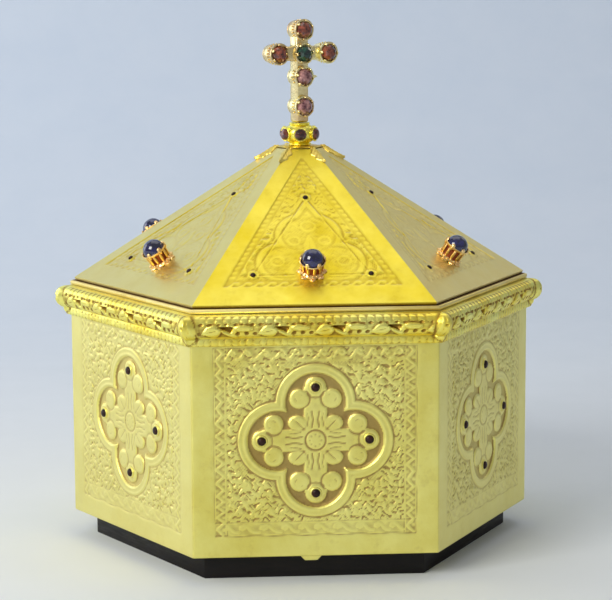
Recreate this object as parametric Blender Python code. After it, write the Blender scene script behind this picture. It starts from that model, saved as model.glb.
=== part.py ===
"""Hexagonal gilt altar tabernacle: chased walls, a lift-off pyramid roof and a jewelled cross.

Metres, +Z up. The origin is under the middle of the plinth, and the front wall faces -Y.
"""
from math import asin, atan2, cos, pi, radians, sin, sqrt

import bmesh
import bpy
from mathutils import Matrix, Vector

SIDES = 6
GAP = 0.0003                     # between pieces that touch

# Plinth
PLINTH_HEIGHT = 0.016
PLINTH_SETBACK = 0.0125          # square to the wall

# Box
WALL_SIDE = 0.150                # outer length of one wall
WALL_HEIGHT = 0.1499
WALL_SHEET = 0.003
FLOOR_SHEET = 0.003

# Lip under the front wall
LIP_HALF_WIDTH = 0.0067
LIP_FOOT_HALF_WIDTH = 0.0038
LIP_DROP = 0.003
LIP_SHIFT = -0.003               # along the wall, from its middle
LIP_INSET = 0.0002               # behind the wall's face

# Quatrefoil in every wall
PANEL_CENTRE = 0.0718            # above the wall's lower edge
FOIL_SPACING = 0.023             # panel centre to a lobe's centre
FOIL_RADIUS = 0.0187
FOIL_DEPTH = 0.0016
FOIL_DRAFT = 0.0005              # how much smaller the sunk floor is
BAND_WIDTH = 0.0055              # raised band around the sunk edge
BAND_RELIEF = 0.0008

# Cross standing in the quatrefoil
CHASED_RELIEF = 0.0014           # above the sunk floor
ARM_HALF_WIDTH = 0.0067
SIDE_LOBE_OUT = 0.0255           # along the arm, from the centre
SIDE_LOBE_ASIDE = 0.010          # from the arm's middle line
SIDE_LOBE_RADIUS = 0.006
END_LOBE_OUT = 0.0327
END_LOBE_RADIUS = 0.0066
PETAL_OUT = 0.011                # both ways from the centre, between two arms
PETAL_RADIUS = 0.0055

# Wall stones, one on each end lobe
WALL_STONE_RADIUS = 0.0026
WALL_STONE_HEIGHT = 0.0017

# Cornice
CORNICE_HEIGHT = 0.0192
CORNICE_BAND_OUT = 0.0026
CORNICE_BAND_HEIGHT = 0.0052
ROLL_OUT = 0.0076
HOLLOW_OUT = 0.0042              # the roll's reach in an undercut
CORNER_LEAF_OUT = 0.0014         # the corner leaf's reach past the roll
CORNER_LEAF = 0.023              # from the corner to the first undercut
LEAF_PITCH = 0.0323
UNDERCUT = 0.0022                # half the width of an undercut
ROLL_FOOT_SHARE = 0.8            # of the roll's reach, at its foot
ROLL_FOOT_UP = 0.0027            # above the band
ROLL_MIDDLE_UP = 0.0075
ROLL_TOP_SHARE = 0.65            # of the roll's reach, at its shoulder
ROLL_TOP_DOWN = 0.001            # shoulder below the cornice's top

# Rim plate
RIM_THICKNESS = 0.0027
RIM_WIDTH = 0.0095               # inward from the walls' outer faces

# Roof
ROOF_SETBACK = 0.0025            # of its edge from the walls' faces
ROOF_RISE = 0.093                # from its edge to the point where its hips would meet
ROOF_SHEET = 0.002
ROOF_EDGE = 0.0008
ROOF_LIFT = 0.0013               # height of the dark gap under its edge
ROOF_FOOT_SETBACK = 0.003        # of the foot that makes the gap
ROOF_FLAT = 0.0163               # corner radius of the flat under the knob
FLANGE_DROP = 0.004              # into the rim plate's opening
FLANGE_SHEET = 0.002
LID_CLEARANCE = 0.0005
FIELD_MARGIN_FOOT = 0.015
FIELD_MARGIN_SIDE = 0.010
FIELD_DEPTH = 0.0004

# Gem settings on the roof
GEM_UP_SLOPE = 0.028             # from the roof's edge
COLLET_LEAF_RADIUS = 0.0105      # points of the leaves at its foot
COLLET_FOOT_RADIUS = 0.0068      # between the leaves
COLLET_LEAF_SHEET = 0.001
COLLET_WAIST_RADIUS = 0.0056
COLLET_WAIST_HEIGHT = 0.0042
COLLET_RIM_RADIUS = 0.0083
COLLET_RIM_HEIGHT = 0.0098
COLLET_CLAW = 0.0022             # claws above the rim
COLLET_WALL = 0.0009
COLLET_SEAT = 0.0012             # seat below the rim
GEM_HEIGHT = 0.0074

# Leaves under the knob
LEAF_SHEET = 0.0012
LEAF_LENGTH = 0.0135             # down the hip, in plan
LEAF_HALF_WIDTH = 0.0042
LEAF_RIB = 0.0011                # the middle rib above the leaf's edges
LEAF_WIDEST = 0.0054             # from the flat's corner to its widest place, in plan

# Knob
KNOB_HEIGHT = 0.0145
KNOB_RADIUS = 0.0104
KNOB_FOOT_RADIUS = 0.0072
KNOB_NECK_RADIUS = 0.0068
KNOB_RING = 0.0012               # height of the rings at its foot and neck
KNOB_BULGE = 0.0063              # half the height of its round part
BOSS_RADIUS = 0.0047
BOSS_OUT = 0.0114                # from the axis to its face
BOSS_ROOT = 0.0072               # from the axis to where it starts, inside the knob
BOSS_SPIN = radians(11)          # keeps its edges off the knob's own
KNOB_STONE_RADIUS = 0.0039
KNOB_STONE_HEIGHT = 0.0018

# Cross on the knob
CROSS_TURN = radians(30)         # turned on its screw, as in the photo
BAR_HALF_WIDTH = 0.0045
BAR_HALF_DEPTH = 0.0044
STEM = 0.003                     # knob to the lowest setting's edge
SETTING_RADIUS = 0.0072
SETTING_WAIST = 0.0062
SETTING_FOOT_RADIUS = 0.0056
SETTING_BACK = 0.0060            # behind the bar's middle plane
SETTING_FRONT = 0.0064           # rim in front of that plane
SETTING_CLAW = 0.0019
SETTING_SEAT = 0.0012            # seat below the rim
SETTING_WALL = 0.0013
SETTING_SPACE = 0.0006           # between two settings on the shaft
ARM_SPACE = 0.0046               # between the middle setting and an arm's
NECK = 0.0047                    # bare shaft between the two lower settings
CROSS_STONE_HEIGHT = 0.0046
STONE_CLEARANCE = 0.0003         # between a stone and the wall of its setting
STONE_EDGE = 0.2                 # upright edge of a stone, as a share of its height


def across(corner_radius):
    """Distance from the axis to a flat side of the hexagon."""
    return corner_radius * cos(pi / SIDES)


def to_corner(distance):
    """Length towards a corner of what is measured square to a flat side."""
    return distance / cos(pi / SIDES)


BOX_Z = PLINTH_HEIGHT + GAP
WALL_FACE = across(WALL_SIDE)
WALL_TOP = BOX_Z + WALL_HEIGHT
CORNICE_Z = WALL_TOP - CORNICE_HEIGHT
RIM_Z = WALL_TOP + GAP
RIM_TOP = RIM_Z + RIM_THICKNESS
RIM_HOLE = WALL_SIDE - to_corner(RIM_WIDTH)
ROOF_RADIUS = WALL_SIDE - to_corner(ROOF_SETBACK)
EAVE_Z = RIM_TOP + ROOF_LIFT + ROOF_EDGE
ROOF_SLOPE = atan2(ROOF_RISE, across(ROOF_RADIUS))
SLOPE_LENGTH = sqrt(ROOF_RISE ** 2 + across(ROOF_RADIUS) ** 2)
ROOF_TOP = EAVE_Z + ROOF_RISE * (1 - ROOF_FLAT / ROOF_RADIUS)
KNOB_Z = ROOF_TOP + LEAF_SHEET + 2 * GAP
CROSS_Z = KNOB_Z + KNOB_HEIGHT + GAP


def clear_scene():
    for thing in list(bpy.data.objects):
        bpy.data.objects.remove(thing, do_unlink=True)


def make_material(name, colour, roughness, metallic):
    material = bpy.data.materials.new(name)
    material.use_nodes = True
    shader = material.node_tree.nodes["Principled BSDF"]
    shader.inputs["Base Color"].default_value = (*colour, 1.0)
    shader.inputs["Roughness"].default_value = roughness
    shader.inputs["Metallic"].default_value = metallic
    return material


def face_frame(index, out, height, pitch):
    """Frame on one side of the hexagon: X along it, Y up it, Z out of it."""
    turn = Matrix.Rotation(2 * pi * index / SIDES, 4, "Z")
    return turn @ Matrix.Translation((0, -out, height)) @ Matrix.Rotation(pitch, 4, "X")


def wall_frame(index):
    """Frame on a wall's outer face, centred on its quatrefoil."""
    return face_frame(index, WALL_FACE, BOX_Z + PANEL_CENTRE, pi / 2)


def roof_frame(index):
    """Frame on a roof face, at the middle of its lower edge."""
    return face_frame(index, across(ROOF_RADIUS), EAVE_Z, ROOF_SLOPE)


def finish_mesh(builder, name, smooth_below=None):
    bmesh.ops.recalc_face_normals(builder, faces=builder.faces)
    bmesh.ops.triangulate(builder, faces=builder.faces, ngon_method="EAR_CLIP")
    mesh = bpy.data.meshes.new(name)
    builder.to_mesh(mesh)
    builder.free()
    if smooth_below:
        mesh.shade_smooth()
        mesh.set_sharp_from_angle(angle=smooth_below)
    return mesh


def add_object(name, mesh, material, place=Matrix.Identity(4)):
    thing = bpy.data.objects.new(name, mesh)
    bpy.context.scene.collection.objects.link(thing)
    if material and not mesh.materials:
        mesh.materials.append(material)
    thing.matrix_world = place
    return thing


def combine(base, mesh, operation):
    """Give base a live Boolean with a hidden cutter made of mesh."""
    cutter = add_object(mesh.name, mesh, None)
    cutter.hide_render = True
    cutter.display_type = "WIRE"
    modifier = base.modifiers.new(mesh.name, "BOOLEAN")
    modifier.operation = operation
    modifier.solver = "EXACT"
    modifier.object = cutter


def add_rings(builder, rings, closed=False):
    """Skin a list of rings of points; unless closed, the first and last ring are capped."""
    loops = [[builder.verts.new(point) for point in ring] for ring in rings]
    pairs = list(zip(loops, loops[1:]))
    if closed:
        pairs.append((loops[-1], loops[0]))
    else:
        builder.faces.new(loops[0])
        builder.faces.new(loops[-1])
    for low, high in pairs:
        for index in range(len(low)):
            after = (index + 1) % len(low)
            builder.faces.new((low[index], low[after], high[after], high[index]))


def turned_mesh(name, profile, sides, between=None, closed=False, smooth_below=None):
    """Turn (radius, height) points about Z; between is the profile of every second side."""
    rings = []
    for step in range(len(profile)):
        ring = []
        for index in range(sides):
            radius, height = (between if between and index % 2 else profile)[step]
            turn = 2 * pi * index / sides
            ring.append((radius * cos(turn), radius * sin(turn), height))
        rings.append(ring)
    builder = bmesh.new()
    add_rings(builder, rings, closed)
    return finish_mesh(builder, name, smooth_below)


def dome_mesh(name, radius, height, sides, bands):
    """Domed stone with a flat base and a short upright edge."""
    edge = STONE_EDGE * height
    crown = pi / 2 * bands / (bands + 0.6)
    profile = [(radius, 0)]
    for band in range(bands + 1):
        rise = crown * band / bands
        profile.append((radius * cos(rise), edge + (height - edge) * sin(rise) / sin(crown)))
    return turned_mesh(name, profile, sides, smooth_below=radians(60))


def slab_mesh(name, frames, lower, upper, low, high):
    """One slab in each frame, from the outline lower at height low to upper at high."""
    builder = bmesh.new()
    for frame in frames:
        below = [frame @ Vector((x, y, low)) for x, y in lower]
        above = [frame @ Vector((x, y, high)) for x, y in upper]
        add_rings(builder, [below, above])
    return finish_mesh(builder, name)


def arc(centre, radius, start, end, steps):
    """Points of an arc, both ends included."""
    turns = [start + (end - start) * step / steps for step in range(steps + 1)]
    return [(centre[0] + radius * cos(turn), centre[1] + radius * sin(turn)) for turn in turns]


def four_turns(points):
    """A quarter of an outline, repeated in quarter turns; each quarter drops its last point."""
    outline = []
    for quarter in range(4):
        turn = quarter * pi / 2
        for x, y in points[:-1]:
            outline.append((x * cos(turn) - y * sin(turn), x * sin(turn) + y * cos(turn)))
    return outline


def quatrefoil(radius, steps=7):
    """Outline of four lobes of the given radius, which meet on the diagonals."""
    notch = (FOIL_SPACING + sqrt(2 * radius ** 2 - FOIL_SPACING ** 2)) / 2
    reach = atan2(notch, notch - FOIL_SPACING)
    return four_turns(arc((FOIL_SPACING, 0), radius, -reach, reach, steps))


def chased_cross():
    """Outline of the cross with three-lobed ends and a petal between each two arms."""
    side = (SIDE_LOBE_OUT, SIDE_LOBE_ASIDE)
    end = (END_LOBE_OUT, 0)
    apart = sqrt((end[0] - side[0]) ** 2 + side[1] ** 2)
    along = (apart ** 2 + END_LOBE_RADIUS ** 2 - SIDE_LOBE_RADIUS ** 2) / (2 * apart)
    aside = sqrt(END_LOBE_RADIUS ** 2 - along ** 2)
    back = Vector((side[0] - end[0], side[1])).normalized()
    meet = Vector(end) + along * back + aside * Vector((back.y, -back.x))
    end_turn = atan2(meet.y, meet.x - end[0])
    side_start = atan2(meet.y - side[1], meet.x - side[0])
    side_end = pi + asin((SIDE_LOBE_ASIDE - ARM_HALF_WIDTH) / SIDE_LOBE_RADIUS)
    petal_start = -asin((PETAL_OUT - ARM_HALF_WIDTH) / PETAL_RADIUS)
    half = arc(end, END_LOBE_RADIUS, 0, end_turn, 2)[:-1]
    half += arc(side, SIDE_LOBE_RADIUS, side_start, side_end, 4)
    half += arc((PETAL_OUT, PETAL_OUT), PETAL_RADIUS, petal_start, pi / 4, 2)
    mirrored = [(x, -y) for x, y in reversed(half[1:])]
    return four_turns(mirrored + half)


def make_plinth(material):
    radius = WALL_SIDE - to_corner(PLINTH_SETBACK)
    add_object("plinth", turned_mesh("plinth", [(radius, 0), (radius, PLINTH_HEIGHT)], SIDES), material)


def make_body(material):
    inner = WALL_SIDE - to_corner(WALL_SHEET)
    shell = [(WALL_SIDE, BOX_Z), (WALL_SIDE, WALL_TOP), (inner, WALL_TOP), (inner, BOX_Z + FLOOR_SHEET)]
    body = add_object("body", turned_mesh("body", shell, SIDES), material)
    walls = [wall_frame(index) for index in range(SIDES)]
    raised = quatrefoil(FOIL_RADIUS + BAND_WIDTH)
    sunk = quatrefoil(FOIL_RADIUS)
    floor = quatrefoil(FOIL_RADIUS - FOIL_DRAFT)
    cross = chased_cross()
    root = -WALL_SHEET / 2 - FOIL_DEPTH / 2
    combine(body, slab_mesh("foil_bands", walls, raised, raised, -FOIL_DEPTH, BAND_RELIEF), "UNION")
    combine(body, slab_mesh("foil_sinks", walls, floor, sunk, -FOIL_DEPTH, 2 * BAND_RELIEF), "DIFFERENCE")
    combine(body, slab_mesh("chased_crosses", walls, cross, cross, root, CHASED_RELIEF - FOIL_DEPTH), "UNION")
    lip = [(LIP_SHIFT - LIP_FOOT_HALF_WIDTH, -LIP_DROP), (LIP_SHIFT + LIP_FOOT_HALF_WIDTH, -LIP_DROP),
           (LIP_SHIFT + LIP_HALF_WIDTH, 0), (LIP_SHIFT + LIP_HALF_WIDTH, FLOOR_SHEET / 2),
           (LIP_SHIFT - LIP_HALF_WIDTH, FLOOR_SHEET / 2), (LIP_SHIFT - LIP_HALF_WIDTH, 0)]
    foot = face_frame(0, WALL_FACE, BOX_Z, pi / 2)
    combine(body, slab_mesh("front_lip", [foot], lip, lip, -WALL_SHEET, -LIP_INSET), "UNION")


def make_wall_stones(material):
    mesh = dome_mesh("wall_stone", WALL_STONE_RADIUS, WALL_STONE_HEIGHT, 8, 1)
    seat = Matrix.Translation((0, 0, CHASED_RELIEF - FOIL_DEPTH + GAP))
    count = 0
    for index in range(SIDES):
        for quarter in range(4):
            count += 1
            arm = Matrix.Rotation(quarter * pi / 2, 4, "Z") @ Matrix.Translation((END_LOBE_OUT, 0, 0))
            add_object(f"wall_stone_{count}", mesh, material, wall_frame(index) @ arm @ seat)


def cornice_stations():
    """Places along one wall, each with the roll's reach there, from its left corner on."""
    stations = [(0, ROLL_OUT + CORNER_LEAF_OUT)]
    undercuts = int((WALL_SIDE - CORNER_LEAF) / LEAF_PITCH) + 1
    for index in range(undercuts):
        cut = CORNER_LEAF + index * LEAF_PITCH
        stations.append((cut - UNDERCUT, ROLL_OUT - (ROLL_OUT - HOLLOW_OUT) / 3))
        stations.append((cut, HOLLOW_OUT))
        stations.append((cut + UNDERCUT, ROLL_OUT))
    return [station for station in stations if station[0] < WALL_SIDE - UNDERCUT]


def make_cornice(material):
    root = CORNICE_BAND_HEIGHT
    rest = CORNICE_HEIGHT - GAP - root
    rings = []
    for index in range(SIDES):
        frame = face_frame(index, WALL_FACE, CORNICE_Z, pi / 2)
        for along, roll in cornice_stations():
            profile = [(GAP, 0), (CORNICE_BAND_OUT, 0), (CORNICE_BAND_OUT, root),
                       (ROLL_FOOT_SHARE * roll, root + ROLL_FOOT_UP), (roll, root + ROLL_MIDDLE_UP),
                       (ROLL_TOP_SHARE * roll, root + rest - ROLL_TOP_DOWN), (GAP, root + rest)]
            ring = []
            for out, height in profile:
                mitre = out * sin(pi / SIDES) / cos(pi / SIDES) if along == 0 else 0
                ring.append(frame @ Vector((along - WALL_SIDE / 2 - mitre, height, out)))
            rings.append(ring)
    builder = bmesh.new()
    add_rings(builder, rings, closed=True)
    add_object("cornice", finish_mesh(builder, "cornice"), material)


def make_rim_plate(material):
    profile = [(RIM_HOLE, RIM_Z), (WALL_SIDE, RIM_Z), (WALL_SIDE, RIM_TOP), (RIM_HOLE, RIM_TOP)]
    add_object("rim_plate", turned_mesh("rim_plate", profile, SIDES, closed=True), material)


def make_roof(material):
    foot = ROOF_RADIUS - to_corner(ROOF_FOOT_SETBACK)
    flange = RIM_HOLE - to_corner(LID_CLEARANCE)
    inner = flange - to_corner(FLANGE_SHEET)
    under = ROOF_SHEET / cos(ROOF_SLOPE)
    inner_eave = EAVE_Z + ROOF_RISE * (1 - inner / ROOF_RADIUS) - under
    inner_top = ROOF_TOP - ROOF_SHEET
    inner_flat = ROOF_RADIUS * (1 - (inner_top + under - EAVE_Z) / ROOF_RISE)
    edge = EAVE_Z - ROOF_EDGE
    seat = RIM_TOP + GAP
    profile = [(ROOF_FLAT, ROOF_TOP), (ROOF_RADIUS, EAVE_Z), (ROOF_RADIUS, edge), (foot, edge),
               (foot, seat), (flange, seat), (flange, RIM_TOP - FLANGE_DROP),
               (inner, RIM_TOP - FLANGE_DROP), (inner, inner_eave), (inner_flat, inner_top)]
    roof = add_object("roof", turned_mesh("roof", profile, SIDES), material)
    taper = ROOF_RADIUS / 2 / SLOPE_LENGTH
    margin = FIELD_MARGIN_SIDE * sqrt(1 + taper ** 2)
    half = ROOF_RADIUS / 2 - taper * FIELD_MARGIN_FOOT - margin
    peak = (ROOF_RADIUS / 2 - margin) / taper
    field = [(-half, FIELD_MARGIN_FOOT), (half, FIELD_MARGIN_FOOT), (0, peak)]
    frames = [roof_frame(index) for index in range(SIDES)]
    combine(roof, slab_mesh("roof_fields", frames, field, field, -FIELD_DEPTH, FIELD_DEPTH), "DIFFERENCE")


def gem_frame(index):
    """Frame of a roof gem's setting on the sunk field, with a leaf pointing down the slope."""
    place = roof_frame(index) @ Matrix.Translation((0, GEM_UP_SLOPE, GAP - FIELD_DEPTH))
    return place @ Matrix.Rotation(-pi / 2, 4, "Z")


def make_gems(gilt, stone):
    well = COLLET_RIM_RADIUS - COLLET_WALL
    seat = COLLET_RIM_HEIGHT - COLLET_SEAT
    claw = COLLET_RIM_HEIGHT + COLLET_CLAW
    hollow = (COLLET_WAIST_RADIUS, COLLET_LEAF_SHEET / 2)
    waist = (COLLET_WAIST_RADIUS, COLLET_WAIST_HEIGHT)
    cup = (COLLET_RIM_RADIUS, seat)
    valley = [hollow, (COLLET_FOOT_RADIUS, 0), (COLLET_FOOT_RADIUS, COLLET_LEAF_SHEET), waist, cup,
              (COLLET_RIM_RADIUS, COLLET_RIM_HEIGHT), (well, COLLET_RIM_HEIGHT), (well, seat)]
    ridge = [hollow, (COLLET_LEAF_RADIUS, 0), (COLLET_LEAF_RADIUS, COLLET_LEAF_SHEET), waist, cup,
             (COLLET_RIM_RADIUS, claw), (well, claw), (well, seat)]
    collet = turned_mesh("gem_collet", ridge, 12, between=valley)
    gem = dome_mesh("gem", well - STONE_CLEARANCE, GEM_HEIGHT, 12, 2)
    for index in range(SIDES):
        add_object(f"gem_collet_{index + 1}", collet, gilt, gem_frame(index))
        place = gem_frame(index) @ Matrix.Translation((0, 0, seat + GAP))
        add_object(f"gem_{index + 1}", gem, stone, place)


def roof_height(x, y):
    """Height of the roof's outer surface, flat on top."""
    turns = [2 * pi * index / SIDES - pi / 2 for index in range(SIDES)]
    out = max(x * cos(turn) + y * sin(turn) for turn in turns)
    return min(ROOF_TOP, EAVE_Z + ROOF_RISE * (1 - out / across(ROOF_RADIUS)))


def make_leaf_collar(material):
    """Cap on the roof's flat, with a ribbed leaf down each hip."""
    widest = ROOF_FLAT + LEAF_WIDEST
    builder = bmesh.new()

    def corner(radius, turn, aside, lift):
        x = radius * cos(turn) - aside * sin(turn)
        y = radius * sin(turn) + aside * cos(turn)
        under = roof_height(x, y) + GAP
        return builder.verts.new((x, y, under)), builder.verts.new((x, y, under + LEAF_SHEET + lift))

    middle = corner(0, 0, 0, 0)
    leaves = []
    for index in range(SIDES):
        turn = 2 * pi * index / SIDES
        leaves.append({
            "bend": corner(ROOF_FLAT, turn, 0, 0),
            "rib": corner(widest, turn, 0, LEAF_RIB),
            "tip": corner(ROOF_FLAT + LEAF_LENGTH, turn, 0, 0),
            "right": corner(widest, turn, -LEAF_HALF_WIDTH, 0),
            "left": corner(widest, turn, LEAF_HALF_WIDTH, 0),
            "valley": corner(across(ROOF_FLAT), turn + pi / SIDES, 0, 0)})
    outline = []
    for leaf, before in zip(leaves, leaves[-1:] + leaves[:-1]):
        bend, rib, tip, right, left = (leaf[name] for name in ("bend", "rib", "tip", "right", "left"))
        triangles = [(middle, before["valley"], bend), (middle, bend, leaf["valley"]),
                     (bend, before["valley"], right), (bend, right, rib), (bend, rib, left),
                     (bend, left, leaf["valley"]), (rib, right, tip), (rib, tip, left)]
        for a, b, c in triangles:
            builder.faces.new((a[1], b[1], c[1]))
            builder.faces.new((a[0], c[0], b[0]))
        outline += [right, tip, left, leaf["valley"]]
    for a, b in zip(outline, outline[1:] + outline[:1]):
        builder.faces.new((a[0], b[0], b[1], a[1]))
    add_object("leaf_collar", finish_mesh(builder, "leaf_collar"), material)


def make_knob(gilt, stone):
    middle = KNOB_HEIGHT / 2
    profile = [(KNOB_FOOT_RADIUS, 0), (KNOB_FOOT_RADIUS, KNOB_RING)]
    for step in range(1, 6):
        turn = pi * (step / 6 - 0.5)
        profile.append((KNOB_RADIUS * cos(turn), middle + KNOB_BULGE * sin(turn)))
    profile += [(KNOB_NECK_RADIUS, KNOB_HEIGHT - KNOB_RING), (KNOB_NECK_RADIUS, KNOB_HEIGHT)]
    place = Matrix.Translation((0, 0, KNOB_Z))
    knob = add_object("knob", turned_mesh("knob", profile, 12, smooth_below=radians(50)), gilt, place)
    boss = arc((0, 0), BOSS_RADIUS, BOSS_SPIN, BOSS_SPIN + 2 * pi, 10)[:-1]
    frames = [face_frame(index, 0, KNOB_Z + middle, pi / 2) for index in range(SIDES)]
    combine(knob, slab_mesh("knob_bosses", frames, boss, boss, BOSS_ROOT, BOSS_OUT), "UNION")
    mesh = dome_mesh("knob_stone", KNOB_STONE_RADIUS, KNOB_STONE_HEIGHT, 8, 1)
    for index in range(SIDES):
        place = face_frame(index, BOSS_OUT + GAP, KNOB_Z + middle, pi / 2)
        add_object(f"knob_stone_{index + 1}", mesh, stone, place)


def cross_settings():
    """Names and places of the settings, in the cross's own plane from the foot of its stem."""
    pitch = 2 * SETTING_RADIUS + SETTING_SPACE
    lower = STEM + SETTING_RADIUS
    upper = lower + 2 * SETTING_RADIUS + NECK
    centre = upper + pitch
    reach = 2 * SETTING_RADIUS + ARM_SPACE
    return {"lower": (0, lower), "upper": (0, upper), "centre": (0, centre), "top": (0, centre + pitch),
            "left": (-reach, centre), "right": (reach, centre)}


def make_cross(gilt, stones):
    places = cross_settings()
    stand = Matrix.Rotation(CROSS_TURN, 4, "Z") @ Matrix.Translation((0, 0, CROSS_Z))
    stand = stand @ Matrix.Rotation(pi / 2, 4, "X")
    top = places["top"][1]
    arm = places["right"][0]
    low = places["centre"][1] - BAR_HALF_WIDTH
    high = places["centre"][1] + BAR_HALF_WIDTH
    half = BAR_HALF_WIDTH
    outline = [(-half, 0), (half, 0), (half, low), (arm, low), (arm, high), (half, high), (half, top),
               (-half, top), (-half, high), (-arm, high), (-arm, low), (-half, low)]
    bars = slab_mesh("cross", [stand], outline, outline, -BAR_HALF_DEPTH, BAR_HALF_DEPTH)
    cross = add_object("cross", bars, gilt)
    well = SETTING_RADIUS - SETTING_WALL
    seat = SETTING_FRONT - SETTING_SEAT
    claw = SETTING_FRONT + SETTING_CLAW
    valley = [(SETTING_FOOT_RADIUS, -SETTING_BACK), (SETTING_WAIST, 0), (SETTING_RADIUS, SETTING_FRONT),
              (well, SETTING_FRONT), (well, seat)]
    ridge = [(SETTING_FOOT_RADIUS, -SETTING_BACK), (SETTING_WAIST, 0), (SETTING_RADIUS, claw), (well, claw),
             (well, seat)]
    builder = bmesh.new()
    for across_cross, up in places.values():
        setting = turned_mesh("setting", ridge, 12, between=valley)
        setting.transform(stand @ Matrix.Translation((across_cross, up, 0)))
        builder.from_mesh(setting)
        bpy.data.meshes.remove(setting)
    combine(cross, finish_mesh(builder, "cross_settings"), "UNION")
    mesh = dome_mesh("cross_stone", well - STONE_CLEARANCE, CROSS_STONE_HEIGHT, 12, 1)
    for name, (across_cross, up) in places.items():
        seated = stand @ Matrix.Translation((across_cross, up, seat + GAP))
        add_object(f"cross_stone_{name}", mesh.copy(), stones[name], seated)


def main():
    clear_scene()
    gilt = make_material("gilt", (0.83, 0.66, 0.20), 0.3, 1.0)
    garnet = make_material("garnet", (0.06, 0.01, 0.015), 0.15, 0.0)
    make_plinth(make_material("black_wood", (0.012, 0.010, 0.010), 0.5, 0.0))
    make_body(gilt)
    make_wall_stones(garnet)
    make_cornice(make_material("cast_gilt", (0.86, 0.60, 0.16), 0.35, 1.0))
    make_rim_plate(make_material("rose_gilt", (0.80, 0.55, 0.30), 0.35, 1.0))
    make_roof(make_material("roof_gilt", (0.88, 0.70, 0.12), 0.28, 1.0))
    make_gems(make_material("collet_gilt", (0.85, 0.50, 0.15), 0.3, 1.0),
              make_material("sapphire", (0.01, 0.012, 0.08), 0.08, 0.0))
    make_leaf_collar(make_material("leaf_gilt", (0.80, 0.52, 0.14), 0.35, 1.0))
    make_knob(make_material("knob_gilt", (0.90, 0.68, 0.15), 0.2, 1.0), garnet)
    red = make_material("red_stone", (0.25, 0.03, 0.02), 0.12, 0.0)
    rose = make_material("rose_stone", (0.45, 0.18, 0.20), 0.15, 0.0)
    green = make_material("green_stone", (0.005, 0.05, 0.03), 0.1, 0.0)
    make_cross(make_material("cross_gilt", (0.85, 0.62, 0.22), 0.3, 1.0),
               {"top": red, "left": red, "right": red, "centre": green, "upper": rose, "lower": rose})


main()
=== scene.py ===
from math import atan2, cos, pi, radians, sin, sqrt, tan

import bpy
import numpy as np
from mathutils import Matrix, Vector


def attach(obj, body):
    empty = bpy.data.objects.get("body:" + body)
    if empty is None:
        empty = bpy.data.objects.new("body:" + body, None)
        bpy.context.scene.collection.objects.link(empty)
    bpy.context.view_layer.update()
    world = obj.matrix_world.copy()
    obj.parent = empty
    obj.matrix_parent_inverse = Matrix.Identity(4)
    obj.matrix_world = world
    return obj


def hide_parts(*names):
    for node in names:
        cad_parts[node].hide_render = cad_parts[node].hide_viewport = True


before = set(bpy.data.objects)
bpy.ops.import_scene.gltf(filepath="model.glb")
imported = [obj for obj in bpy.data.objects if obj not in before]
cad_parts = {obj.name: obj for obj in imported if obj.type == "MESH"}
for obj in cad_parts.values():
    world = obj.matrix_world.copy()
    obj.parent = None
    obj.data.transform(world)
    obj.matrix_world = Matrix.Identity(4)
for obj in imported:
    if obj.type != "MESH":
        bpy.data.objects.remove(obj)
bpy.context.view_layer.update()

SIDES = 6
MM = 0.001
GAP = 0.0003
DOUBLES = 0.000005                 # vertices closer than this are one

# Box, in metres.
BOX_Z = 0.0163
WALL_SIDE = 0.150
WALL_FACE = WALL_SIDE / 2 / tan(pi / SIDES)
WALL_HEIGHT = 0.1499
WALL_SHEET = 0.003
FLOOR_SHEET = 0.003

# Cornice and roof, in metres.
CORNICE_Z = 0.1470
RIM_TOP = 0.1692
RIM_HOLE = 0.13903
ROOF_RADIUS = 0.147113
ROOF_FACE = ROOF_RADIUS * cos(pi / SIDES)
ROOF_RISE = 0.093
ROOF_FLAT = 0.0163
ROOF_SHEET = 0.0012
ROOF_EDGE = 0.0008
EAVE_Z = 0.1713
ROOF_SLOPE = atan2(ROOF_RISE, ROOF_FACE)
SLOPE_LENGTH = sqrt(ROOF_RISE ** 2 + ROOF_FACE ** 2)
FLANGE = 0.13845
FLANGE_DROP = 0.004
ROOF_TOP = 0.253996
PLINTH_RADIUS = 0.13556
PLINTH_HEIGHT = 0.016
RIM_Z = 0.1665

# Knob and cross, in metres; the cross is turned on its screw, as in the photo.
KNOB_Z = 0.255796
KNOB_HEIGHT = 0.0145
CROSS_Z = 0.270596
CROSS_TURN = radians(30)
BAR_WIDTH = 0.009
BAR_DEPTH = 0.0088
SETTINGS = {"lower": (0, 0.0102), "upper": (0, 0.0293), "centre": (0, 0.0443), "top": (0, 0.0593),
            "left": (-0.019, 0.0443), "right": (0.019, 0.0443)}

# Reliefs are worked out in millimetres on each face: across from its middle, up from its lower edge.
PANEL_MIDDLE = 71.8
FOIL_SPACING = 23.0
FOIL_RADIUS = 18.7
FOIL_NOTCH = 18.03
FOIL_DEPTH = 1.6
BAND_WIDTH = 5.5
BAND_RELIEF = 0.8
CHASED_RELIEF = 1.4
STONE_OUT = 32.7
COLUMN_MIDDLE = 57.85
TOP_ROW = 124.9
LOW_ROW = 17.5
GEM_UP = 28.0
PINHEADS = ((0.0, 94.5), (-36.0, 25.5), (36.0, 25.5))


# Placing.

def face_frame(index, out, height, lean=pi / 2):
    """X along a side of the hexagon, Y up its face, Z out of it; side 0 is the front."""
    turn = Matrix.Rotation(index * 2 * pi / SIDES, 4, "Z")
    return turn @ Matrix.Translation((0, -out, height)) @ Matrix.Rotation(lean, 4, "X")


def roof_frame(index):
    return face_frame(index, ROOF_FACE, EAVE_Z, ROOF_SLOPE)


def turn_z(angle):
    return Matrix.Rotation(angle, 4, "Z")


def turned_about(x, y, turn):
    """Points turned about the upright axis."""
    return x * np.cos(turn) - y * np.sin(turn), x * np.sin(turn) + y * np.cos(turn)


def deselect():
    bpy.ops.object.select_all(action="DESELECT")


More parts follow.
